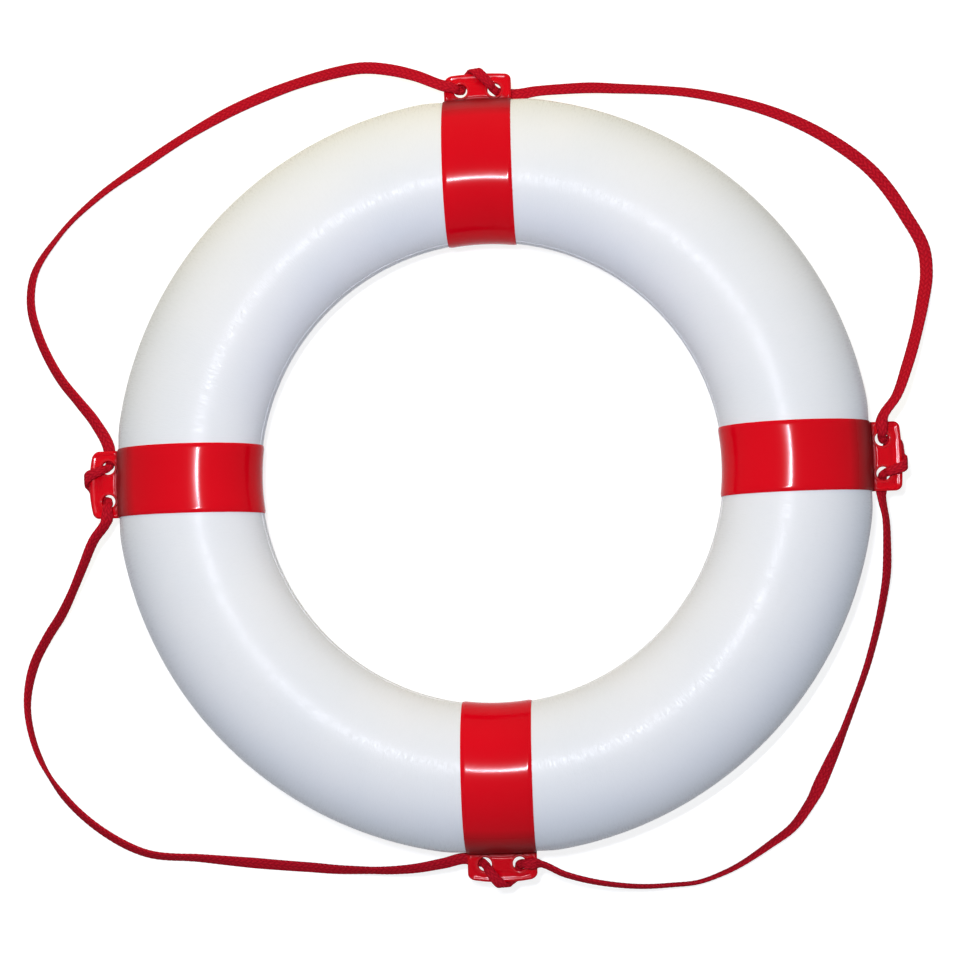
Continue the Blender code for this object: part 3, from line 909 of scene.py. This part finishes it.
def shell_outline(line_depth):
    """The front half's wall in the half plane of +X, from mid height upwards."""
    first = np.arcsin((SEAM_ROUND + SEAM_GAP) / TUBE_AXIAL)
    turns = np.linspace(first, pi - first, SKIN_POINTS)
    turns = turns[np.abs(turns - MOULD_LINE_TURN) > MOULD_LINE_REACH]
    shares = np.linspace(-1, 1, MOULD_LINE_POINTS)
    turns = np.sort(np.concatenate([turns, MOULD_LINE_TURN + MOULD_LINE_REACH * shares]))
    shares = (turns - MOULD_LINE_TURN) / MOULD_LINE_REACH
    cuts = line_depth * np.maximum(0, 1 - shares**2)
    skin = [((TUBE_RADIAL - d) * cos(t), (TUBE_AXIAL - d) * sin(t)) for t, d in zip(turns, cuts)]
    wall = TUBE_RADIAL - SHELL_WALL, TUBE_AXIAL - SHELL_WALL
    turns = np.linspace(pi - first, first, WALL_POINTS)
    inner = [(wall[0] * cos(t), wall[1] * sin(t)) for t in turns]
    rounds = []
    for t in (radians(30), radians(60), radians(90)):
        rounds.append((SEAM_ROUND * (1 - cos(t)), SEAM_GAP + SEAM_ROUND * (1 - sin(t))))
    bore = [(-TUBE_RADIAL + into, height) for into, height in rounds]
    bore.append((-wall[0], SEAM_GAP))
    rim = [(wall[0], SEAM_GAP)] + [(TUBE_RADIAL - into, h) for into, h in rounds[::-1]]
    return [(TUBE_MIDDLE + out, height) for out, height in skin + bore + inner + rim]


# %% [markdown]
# The shells, the eyelets and the plugs are all turned. `turned_mesh` joins the
# corners of an outline with edges and spins them once round the Z axis. A Screw
# modifier would do the same, but the operator leaves a plain mesh at once.


# %% Turn an outline
def turned_mesh(name, outline, steps, place=(0, 0, 0), closed=True):
    """Turns pairs of a distance from the axis and a height into a mesh."""
    work = bmesh.new()
    corners = [work.verts.new((radius, 0, height)) for radius, height in outline]
    following = corners[1:] + corners[:1] if closed else corners[1:]
    for pair in zip(corners, following):
        work.edges.new(pair)
    bmesh.ops.spin(
        work,
        geom=work.verts[:] + work.edges[:],
        axis=(0, 0, 1),
        cent=(0, 0, 0),
        angle=2 * pi,
        steps=steps,
        use_merge=True,
    )
    bmesh.ops.translate(work, verts=work.verts, vec=place)
    return keep_mesh(work, name)


def half_shell(name, way):
    """One half: way is 1 for the front and -1 for the back."""
    outline = shell_outline(MOULD_LINE_DEPTH if way > 0 else 0)
    mesh = turned_mesh(name, [(radius, way * height) for radius, height in outline], RING_STEPS)
    move_points(mesh, pull_in(read_points(mesh)) + (0, 0, MID_HEIGHT))
    return finish_mesh(mesh)


# %% [markdown]
# The white plastic is satin. Handling has scuffed it across the tube, so its
# highlight breaks up into fine bright dashes that run outwards. The pattern needs
# to know which way is outwards, so the object's coordinates are turned into a
# bearing and a distance from the axis.


# %% The white plastic
WHITE_SHINE = 0.085
WHITE_ROUGHNESS = 0.42
DASH_GLOSS = 0.17
# How close the dashes lie round the ring, and how short they are outwards.
DASHES_ROUND = 850
DASHES_OUT = 150
SCUFF_DEPTH = 0.0001
WAVE_DEPTH = 0.0003
# Between which values of the noise the cool patches and the dashes come in.
PATCH_RANGE = (0.35, 0.65)
DASH_RANGE = (0.42, 0.58)


def object_place(tree):
    """A point's place in the ring's frame, and then its x, y and z by themselves."""
    place = add_node(tree, "ShaderNodeTexCoord").outputs["Object"]
    return place, *add_node(tree, "ShaderNodeSeparateXYZ", {0: place}).outputs


def from_axis(tree, x, y):
    """How far a point lies from the ring's axis."""
    squared = maths(tree, "MULTIPLY_ADD", x, x, maths(tree, "MULTIPLY", y, y))
    return maths(tree, "SQRT", squared)


def dash_coordinates(tree, x, y, z):
    """Places for a pattern that is drawn out away from the ring's axis."""
    bearing = maths(tree, "ARCTAN2", y, x)
    inputs = {
        0: maths(tree, "MULTIPLY", bearing, TUBE_MIDDLE * DASHES_ROUND),
        1: maths(tree, "MULTIPLY", from_axis(tree, x, y), DASHES_OUT),
        2: maths(tree, "MULTIPLY", z, DASHES_OUT),
    }
    return add_node(tree, "ShaderNodeCombineXYZ", inputs).outputs[0]


def white_plastic(name, colour, cool):
    material, tree, shader = new_material(name, Specular_IOR_Level=WHITE_SHINE)
    place, x, y, z = object_place(tree)
    broad = noise(tree, place, scale=9, detail=3)
    tint = mix_colour(tree, ramp(tree, broad, *PATCH_RANGE), colour, cool)
    outwards = dash_coordinates(tree, x, y, z)
    scuffs = noise(tree, outwards, scale=1.0, detail=3, roughness=0.6)
    dashes = ramp(tree, scuffs, *DASH_RANGE)
    rough = maths(tree, "MULTIPLY_ADD", dashes, -DASH_GLOSS, WHITE_ROUGHNESS)
    fine = bump(tree, scuffs, SCUFF_DEPTH)
    wavy = bump(tree, broad, WAVE_DEPTH, normal=fine)
    connect(tree, shader, Base_Color=tint, Roughness=rough, Normal=wavy)
    return material


shell_white = white_plastic("white plastic", (0.80, 0.81, 0.83, 1), (0.77, 0.79, 0.82, 1))

# %% Make the two half shells
for node, way in (("shell_front", 1), ("shell_back", -1)):
    add_piece(node + "_skin", half_shell(node, way), shell_white, "shell_white", node)

# %% [markdown]
# ## The bands
# Each band is one strap of soft red plastic, wrapped hot round the tube so that it
# shrinks tight. Its two ends run out past the ring and lie on each other as a tab.
# Along its sides the strap thins out and curves down to the ring. A Solidify modifier
# on a bent sheet would make it equally thick all over, so the strap is a rolled grid
# again: each column runs round the tube and out along both plies of the tab, and each
# row goes once round the strap's own thin section.

# %% Sizes of the strap
# How wide its thin border is on the ring and on a tab, which share of the thickness
# is left at the very edge, and how full the border's curve is.
BAND_BORDER = 0.0042
TAB_BORDER = 0.0024
BAND_EDGE = 0.3
BORDER_CURVE = 2.2

# The bend from the ring out to a tab, and how soon after it the tab's forms begin.
CREASE = 0.0026
CREASE_FADE = 0.004

# The pad round the eyelets: where it starts to fall and where it ends, measured from
# an eyelet's middle, how high it is, and how much it draws in between the two.
COLLAR_START = 0.00925
COLLAR_REACH = 0.013
COLLAR_LIFT = 0.0009
PAD_WAIST = 0.0045

# Where the bead along a tab's edge is highest, how far it runs out inwards, and which
# share of a slope is rounded.
BEAD_IN = 0.0021
BEAD_SPREAD = 0.0034
ROUNDED_SHARE = 0.3

# Radii of each tab's left and right corner.
TAB_CORNERS = {
    "top": (0.0085, 0.0055),
    "right": (0.0055, 0.006),
    "bottom": (0.0065, 0.006),
    "left": (0.0055, 0.0065),
}


# %% The rows and columns of a strap
TUBE_ROWS = 128
CREASE_ROWS = 8
TAB_ROWS = 36
CORNER_ROWS = 16
STRAP_COLUMNS = 64
# Below 1, and near it the columns crowd towards the sides.
COLUMN_CROWD = 0.92
ON_TAB, IN_CREASE, ON_TUBE = 0, 1, 2


def tab_stations(corner):
    """Distances from the axis of a tab's rows, closer together round its corners."""
    start = SEAT_PLANE + BAND_GAP + CREASE
    straight = np.linspace(start, TAB_END - corner, TAB_ROWS, endpoint=False)
    curved = TAB_END - corner * (1 - np.sin(np.linspace(0, pi / 2, CORNER_ROWS)))
    return np.concatenate([straight, curved])


def strap_rows(corner):
    """Each row's kind, and its distance on a tab or its turn in a crease or on the tube."""
    tab = [(ON_TAB, out) for out in tab_stations(corner)]
    crease = [(IN_CREASE, turn) for turn in np.linspace(pi / 2, 0, CREASE_ROWS, endpoint=False)]
    first = np.arcsin((SLIT / 2 + CREASE) / TUBE_AXIAL)
    tube = [(ON_TUBE, turn) for turn in np.linspace(first, 2 * pi - first, TUBE_ROWS)]
    front = tab[::-1] + crease
    back = [(kind, -value) for kind, value in front[::-1]]
    return np.array(front + tube + back)


def across_strap(column):
    """Where a column lies from side to side, -1 to 1, and if it is on the outer face."""
    outer = column <= STRAP_COLUMNS
    sideways = np.where(outer, column, 2 * STRAP_COLUMNS - column) / STRAP_COLUMNS * 2 - 1
    sideways = np.sin(sideways * pi / 2 * COLUMN_CROWD) / sin(pi / 2 * COLUMN_CROWD)
    return np.where(column == 2 * STRAP_COLUMNS, -1, sideways), outer


# %% [markdown]
# The strap's shape has three parts: where a point lies across it and how near the
# edge, how thick it is there, and where it then stands. The last has an answer of its
# own round the tube, in the crease and out on the tab.


# %% How wide and thick a strap is
def even_slope(share):
    """From 0 to 1 on a nearly straight slope, a little rounded at both ends."""
    straight = np.clip(share, 0, 1)
    return (1 - ROUNDED_SHARE) * straight + ROUNDED_SHARE * smooth_step(share)


def strap_edge(sideways, out, on_tab, radius):
    """How far aside a point lies, and how far from the strap's rounded edge."""
    into = np.maximum(0, out - (TAB_END - radius)) * on_tab
    into = np.minimum(into, radius)
    half = BAND_WIDTH / 2 - (radius - np.sqrt(np.maximum(0, radius**2 - into**2)))
    x = sideways * half
    to_side = BAND_WIDTH / 2 - np.abs(x)
    to_end = np.where(on_tab, TAB_END - out, 1)
    inside = np.hypot(np.maximum(radius - to_side, 0), np.maximum(radius - to_end, 0))
    return x, np.where(inside > 0, radius - inside, np.minimum(to_side, to_end))


def strap_height(x, out, edge, on_tab):
    """How high the strap's outer face stands there above its inner one."""
    tab_share = smooth_step((out - SEAT_PLANE - BAND_GAP - CREASE) / CREASE_FADE) * on_tab
    border = BAND_BORDER + (TAB_BORDER - BAND_BORDER) * tab_share
    full = 1 - (1 - BAND_EDGE) * (1 - np.clip(edge / border, 0, 1)) ** BORDER_CURVE
    beside = np.hypot(np.maximum(0, np.abs(x) - EYELET_ASIDE), out - EYELET_OUT)
    waist = PAD_WAIST * np.maximum(0, 1 - (x / EYELET_ASIDE) ** 2)
    pad = even_slope((COLLAR_REACH - waist - beside) / (COLLAR_REACH - COLLAR_START))
    bead = even_slope(np.minimum(edge / BEAD_IN, 1 - (edge - BEAD_IN) / BEAD_SPREAD))
    raised = np.maximum(COLLAR_LIFT * pad, BEAD_LIFT * bead) * tab_share
    return BAND_THICKNESS * full + raised


# %% Where a strap stands
def round_tube(x, turn, height):
    above = BAND_GAP + height
    tube = TUBE_MIDDLE + (TUBE_RADIAL + above) * np.cos(turn)
    depth = np.maximum(0, RING_OUTER * np.cos(np.arcsin(x / RING_OUTER)) - SEAT_PLANE)
    drawn = depth * np.maximum(0, np.cos(turn)) ** SEAT_FADE
    y = np.sqrt(np.maximum(0, tube**2 - x**2)) - drawn
    return y, (TUBE_AXIAL + above) * np.sin(turn)


def in_crease(turn, height):
    bend = CREASE - height
    y = SEAT_PLANE + BAND_GAP + CREASE - bend * np.cos(turn)
    return y, SLIT / 2 + CREASE - bend * np.sin(turn)


def out_on_tab(side, x, out, height):
    reach = (out - SEAT_PLANE) / (TAB_END - SEAT_PLANE)
    return out + np.maximum(0, reach) ** 2 * edge_bow(side, x), SLIT / 2 + height


def strap_mesh(side):
    left, right = TAB_CORNERS[side]
    rows = strap_rows(max(left, right))
    last_row = len(rows) - 1

    def place(round_it, share):
        sideways, outer = across_strap(np.rint(round_it * 2 * STRAP_COLUMNS).astype(int))
        kind, value = rows[np.rint(share * last_row).astype(int)].T
        out, on_tab, in_bend = np.abs(value), kind == ON_TAB, kind == IN_CREASE
        x, edge = strap_edge(sideways, out, on_tab, np.where(sideways < 0, left, right))
        height = np.where(outer, strap_height(x, out, edge, on_tab), 0)
        front = np.where(share < 0.5, 1, -1)
        tab_y, tab_z = out_on_tab(side, x, out, height)
        bend_y, bend_z = in_crease(out, height)
        tube_y, tube_z = round_tube(x, value, height)
        y = np.select([on_tab, in_bend], [tab_y, bend_y], tube_y)
        z = np.select([on_tab, in_bend], [front * tab_z, front * bend_z], tube_z)
        return np.stack([x, y, z], axis=1)

    return rolled_grid("band_" + side, 2 * STRAP_COLUMNS, last_row, place, SHARP_ANGLE)


# %% [markdown]
# The eyelets need holes in both plies. A Boolean modifier takes two short cylinders
# from each strap, and its result is kept as a plain mesh.


# %% Cut the holes and turn each strap to its place
HOLE_RADIUS = 0.0077
PUNCH_STEPS = 48
PUNCH_DEPTH = 0.012


def punched(mesh):
    scene = bpy.context.scene
    strap = bpy.data.objects.new("strap", mesh)
    work = bmesh.new()
    for side in (-1, 1):
        bmesh.ops.create_cone(
            work,
            cap_ends=True,
            segments=PUNCH_STEPS,
            radius1=HOLE_RADIUS,
            radius2=HOLE_RADIUS,
            depth=PUNCH_DEPTH,
            matrix=Matrix.Translation((side * EYELET_ASIDE, EYELET_OUT, 0)),
        )
    punch = bpy.data.objects.new("punch", keep_mesh(work, "punch"))
    scene.collection.objects.link(strap)
    scene.collection.objects.link(punch)
    holes = strap.modifiers.new("holes", "BOOLEAN")
    holes.operation = "DIFFERENCE"
    holes.solver = "EXACT"
    holes.object = punch
    ready = strap.evaluated_get(bpy.context.evaluated_depsgraph_get())
    cut = bpy.data.meshes.new_from_object(ready)
    bpy.data.objects.remove(strap)
    bpy.data.objects.remove(punch)
    return cut


def move_to_tab(mesh, side):
    move_points(mesh, from_tab(side, read_points(mesh)))
    return mesh


# %% [markdown]
# The plastic of the bands is a clear bright red with a high gloss. A faint slow
# wave in its surface makes the highlight waver, as it does on a shrunk strap. Shade
# is painted into the red where a band bends into its tab: it gets darker and duller
# towards that crease, by the distance from the ring's axis. A thin rough coat gives
# the highlight its halo.


# %% The red plastic
# The colour of the shade painted into the crease.
CREASE_SHADE = (0.12, 0.003, 0.004, 1)
# The painted shade grows between the first two distances, as the last two numbers say,
# on the ring's side of the crease, and shrinks likewise on the tab's side.
CREASE_SHADE_ON_RING = (0.332, 0.354, 0, 0.85)
CREASE_SHADE_ON_TAB = (0.3595, 0.3635, 1, 0)
CREASE_ROUGHNESS = 0.5
RED_COAT = {"IOR": 1.3, "Coat_Weight": 0.025, "Coat_Roughness": 0.2}
# Between which values of the noise the darker red and the duller marks come in.
TINT_RANGE = (0.3, 0.7)
MARK_RANGE = (0.3, 0.8)
MARK_ROUGHNESS = 0.02


def red_plastic(name, colour, dark, roughness, shine, wave):
    material, tree, shader = new_material(name, Specular_IOR_Level=shine, **RED_COAT)
    place, x, y, _ = object_place(tree)
    broad = noise(tree, place, scale=12, detail=0)
    tint = mix_colour(tree, ramp(tree, broad, *TINT_RANGE), colour, dark)
    distance = from_axis(tree, x, y)
    # Painted shade: darker and duller towards the crease between the ring and the tab.
    crease_shade = ramp(tree, distance, *CREASE_SHADE_ON_RING)
    crease_shade = maths(tree, "MULTIPLY", crease_shade, ramp(tree, distance, *CREASE_SHADE_ON_TAB))
    tint = mix_colour(tree, crease_shade, tint, CREASE_SHADE)
    marks = noise(tree, place, scale=240, detail=2)
    rough = ramp(tree, marks, *MARK_RANGE, roughness, roughness + MARK_ROUGHNESS)
    rough = maths(tree, "MULTIPLY_ADD", crease_shade, CREASE_ROUGHNESS, rough)
    connect(tree, shader, Base_Color=tint, Roughness=rough, Normal=bump(tree, broad, wave))
    return material


band_red = red_plastic(
    "red band plastic",
    colour=(0.70, 0.001, 0.009, 1),
    dark=(0.64, 0.001, 0.008, 1),
    roughness=0.1,
    shine=0.13,
    wave=0.0003,
)

# %% Make the four bands
for side in TABS:
    strap = shade_smooth(punched(strap_mesh(side)))
    node = "band_" + side
    add_piece(node + "_strap", move_to_tab(strap, side), band_red, "band_red", node)

# %% [markdown]
# ## The eyelets
# Each hole in a tab is lined with a moulded eyelet: a short barrel with a round
# lip on either face, so that the line doesn't chafe. Two rings and a tube would leave
# a joint between lip and bore, so one outline holds them all and is turned once round
# its own axis.

# %% The eyelets
EYELET_BORE = 0.0064
EYELET_LIP = COLLAR_START
EYELET_STEPS = 64
# The round from the bore to the front of the lip, and the flat on top of the lip.
BORE_ROUND = 0.0013
LIP_FLAT = 0.0003
# How far the lip sinks into the tab, how far its top stays below the CAD's, and the
# gap between the barrel and the hole.
LIP_SINK = 0.0002
LIP_BELOW = 0.00005
BARREL_GAP = 0.0003
# How many points each round has, and how far short of level the lip's own one stops.
BORE_POINTS = 7
LIP_POINTS = 8
LIP_STOP = 0.1


def eyelet_outline():
    """The eyelet's section, from the middle of the bore round the front lip."""
    low, crown = PLY_TOP - LIP_SINK, FLANGE_TOP - LIP_BELOW
    points = [(EYELET_BORE, 0)]
    for t in np.linspace(0, pi / 2, BORE_POINTS):
        points.append((EYELET_BORE + BORE_ROUND * (1 - cos(t)), crown - BORE_ROUND * (1 - sin(t))))
    outer = EYELET_LIP - EYELET_BORE - BORE_ROUND - LIP_FLAT
    for t in np.linspace(pi / 2, LIP_STOP, LIP_POINTS)[1:]:
        points.append((EYELET_LIP - outer * (1 - cos(t)), low + (crown - low) * sin(t)))
    return points + [(EYELET_LIP, low), (HOLE_RADIUS - BARREL_GAP, low)]


def eyelet_mesh(name, side, way):
    """One eyelet: way is -1 for a tab's left hole and 1 for its right one."""
    half = eyelet_outline()
    outline = half + [(radius, -height) for radius, height in half[:0:-1]]
    mesh = turned_mesh(name, outline, EYELET_STEPS, (way * EYELET_ASIDE, EYELET_OUT, 0))
    return move_to_tab(finish_mesh(mesh), side)


eyelet_red = red_plastic(
    "red eyelet plastic",
    colour=(0.64, 0.001, 0.009, 1),
    dark=(0.60, 0.001, 0.008, 1),
    roughness=0.1,
    shine=0.4,
    wave=0.0001,
)
for side in TABS:
    for number, way in ((1, -1), (2, 1)):
        node = f"eyelet_{side}_{number}"
        add_piece(node + "_turned", eyelet_mesh(node, side, way), eyelet_red, "eyelet_red", node)

# %% [markdown]
# ## Plugs in the back
# The foam is poured through a hole in the back and the air leaves through a
# smaller one. Each is closed with a plastic plug: a disc with a soft rim and a
# shallow dish, turned like the eyelets.


# %% The plugs
# How deep the dish in a plug's face is and how round its rim, and then where the
# dish's flat middle ends and where its slope does, as shares of the plug's radius.
DISH_DEPTH = 0.0004
RIM_ROUND = 0.0006
DISH_FLAT = 0.7
DISH_END = 0.8
RIM_POINTS = 5


def plug_mesh(node):
    place, size = middle_and_size(node)
    radius, depth = size[0] / 2, size[2]
    face = -depth / 2
    dish = face + DISH_DEPTH
    outline = [(0, dish), (radius * DISH_FLAT, dish), (radius * DISH_END, face)]
    for t in np.linspace(pi / 2, 0, RIM_POINTS):
        outline.append((radius - RIM_ROUND * (1 - cos(t)), face + RIM_ROUND * (1 - sin(t))))
    outline += [(radius, depth / 2), (0, depth / 2)]
    return finish_mesh(turned_mesh(node, outline, EYELET_STEPS, place, closed=False))


plug_white = white_plastic("plug plastic", (0.70, 0.71, 0.73, 1), (0.66, 0.67, 0.70, 1))
for node in ("filler_plug", "vent_plug"):
    add_piece(node + "_turned", plug_mesh(node), plug_white, "plug_white", node)

# %% [markdown]
# ## The knot
# The line's two ends are tied together behind the right tab, where the camera can't
# see. It is an overhand knot, pulled tight: the three-lobed loop of a trefoil, opened
# at one place, with two short ends.

# %% The knot
KNOT_STEPS = 220
KNOT_ROUND_STEPS = 32
KNOT_LINE = 0.0026
# How far each end of the trefoil's turn is left out, how much of the braid a grid of
# the knot's length shows, and its relief as a share of the line's.
KNOT_OPENING = 0.25
KNOT_BRAID = 0.06
KNOT_RELIEF = 0.7
knot_middle, knot_size = middle_and_size("line_knot")


def knot_path():
    t = np.linspace(KNOT_OPENING, 2 * pi - KNOT_OPENING, KNOT_STEPS)
    wide, high = (knot_size[1] / 2 - KNOT_LINE) / 3, knot_size[2] / 2 - KNOT_LINE
    x = wide * (np.sin(t) + 2 * np.sin(2 * t))
    y = wide * (np.cos(t) - 2 * np.cos(2 * t))
    return np.stack([y, x, -high * np.sin(3 * t)], axis=1) + knot_middle


def knot_mesh():
    path = knot_path()
    ahead = unit(np.gradient(path, axis=0))
    side = unit(np.cross(ahead, (0, 0, 1)))
    over = np.cross(side, ahead)

    def place(round_it, share):
        row = np.rint(share * (KNOT_STEPS - 1)).astype(int)
        radius = KNOT_LINE + KNOT_RELIEF * relief(round_it, share * KNOT_BRAID)
        angle = 2 * pi * round_it
        way = side[row] * np.cos(angle)[:, None] + over[row] * np.sin(angle)[:, None]
        return path[row] + way * radius[:, None]

    mesh = rolled_grid("line_knot", KNOT_ROUND_STEPS, KNOT_STEPS - 1, place)
    return number_strands(mesh, 0, KNOT_BRAID)


add_piece("line_knot_braid", knot_mesh(), line_red, "line_red", "line_knot")

# %% [markdown]
# ## The foam
# The foam core is sealed inside the skin and never shows, but the model keeps it, so
# its CAD node gets a cream foam material with fine cells.

# %% The foam core
FOAM_CELLS = 700
CELL_DEPTH = 0.0004

foam, tree, shader = new_material("closed-cell foam", Roughness=0.9)
place = add_node(tree, "ShaderNodeTexCoord").outputs["Object"]
inputs = {"Vector": place, "Scale": FOAM_CELLS}
cells = add_node(tree, "ShaderNodeTexVoronoi", inputs).outputs["Distance"]
colour = mix_colour(tree, cells, (0.78, 0.70, 0.50, 1), (0.88, 0.83, 0.66, 1))
connect(tree, shader, Base_Color=colour, Normal=bump(tree, cells, CELL_DEPTH))
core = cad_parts["foam_core"]
core.data.materials.clear()
core.data.materials.append(foam)
print("foam core:", len(core.data.polygons), "faces")

# %% [markdown]
# ## Floor and world
# The photograph's background is pure white. More light would wash out the ring, so
# the floor is a grey sheet that glows for the camera and for reflections only. It
# comes out white, its glow lights nothing, and it keeps the ring's shadow. The world
# is made the same way: white to the eye, and a dim pale blue as light.


# %% The floor
FLOOR_HALF_WIDTH = 40
FLOOR_GREY = (0.45, 0.45, 0.45, 1)
FLOOR_GLOW = 0.8
WHITE = (1, 1, 1, 1)


def white_for_the_eye(tree):
    """1 for camera, glossy and transmission rays, and 0 for all others."""
    path = add_node(tree, "ShaderNodeLightPath").outputs
    seen = maths(tree, "MAXIMUM", path["Is Camera Ray"], path["Is Glossy Ray"])
    return maths(tree, "MAXIMUM", seen, path["Is Transmission Ray"])


work = bmesh.new()
bmesh.ops.create_grid(work, x_segments=1, y_segments=1, size=FLOOR_HALF_WIDTH)
floor_mesh = keep_mesh(work, "floor")
floor_paint, tree, shader = new_material(
    "floor", Roughness=0.9, Specular_IOR_Level=0, Base_Color=FLOOR_GREY, Emission_Color=WHITE
)
glow = maths(tree, "MULTIPLY", white_for_the_eye(tree), FLOOR_GLOW)
connect(tree, shader, Emission_Strength=glow)
floor_mesh.materials.append(floor_paint)
floor = bpy.data.objects.new("floor", floor_mesh)
bpy.context.scene.collection.objects.link(floor)
print("floor:", 2 * FLOOR_HALF_WIDTH, "m wide")

# %% The world
SKY = (0.207, 0.236, 0.26, 1)

world = bpy.data.worlds.new("studio")
world.use_nodes = True
tree = world.node_tree
sky = mix_colour(tree, white_for_the_eye(tree), SKY, WHITE)
tree.links.new(sky, tree.nodes["Background"].inputs["Color"])
bpy.context.scene.world = world

# %% [markdown]
# ## The lamps
# A wide soft light stands beyond the top of the picture. It is warm, as the photograph
# is there, and left out of reflections so that it lays no patch on the gloss. A thin
# strip beside the camera draws the sharp line along the bands. It stands aslant,
# because the top and bottom bands mirror one of its ends to the camera and the side
# bands the other. A second lamp in the strip shows in the gloss alone, so the line is
# strong enough without more light on the white shell.

# %% The lamps
TOP_LIGHT_PLACE = Vector((-0.3, 1.7, 1.1))
TOP_LIGHT_WIDTH = 1.2
TOP_LIGHT_WATTS = 15
TOP_LIGHT_COLOUR = (1.0, 0.81, 0.3)
STRIP_ENDS = Vector((-0.094, -0.013, 1.62)), Vector((0.06, 0.123, 1.62))
STRIP_WIDTH = 0.03
STRIP_WATTS = 17.3
GLEAM_WATTS = 8
STRIP_COLOUR = (0.865, 0.88, 1.0)


def add_lamp(name, shape, place, watts, colour):
    lamp = bpy.data.lights.new(name, "AREA")
    lamp.shape = shape
    lamp.energy = watts
    lamp.color = colour
    stand = bpy.data.objects.new(name, lamp)
    bpy.context.scene.collection.objects.link(stand)
    stand.location = place
    print(name, "at", [round(x, 3) for x in place])
    return stand


top_light = add_lamp("top light", "DISK", TOP_LIGHT_PLACE, TOP_LIGHT_WATTS, TOP_LIGHT_COLOUR)
top_light.data.size = TOP_LIGHT_WIDTH
top_light.rotation_euler = (-top_light.location).to_track_quat("-Z", "Y").to_euler()
top_light.visible_glossy = False

reach = STRIP_ENDS[1] - STRIP_ENDS[0]
halfway = (STRIP_ENDS[0] + STRIP_ENDS[1]) / 2
for name, watts in (("strip light", STRIP_WATTS), ("strip gleam", GLEAM_WATTS)):
    strip = add_lamp(name, "RECTANGLE", halfway, watts, STRIP_COLOUR)
    strip.data.size = reach.length
    strip.data.size_y = STRIP_WIDTH
    strip.rotation_euler = (0, 0, np.arctan2(reach.y, reach.x))
    strip.visible_diffuse = name == "strip light"

bpy.context.scene.view_settings.view_transform = "Standard"
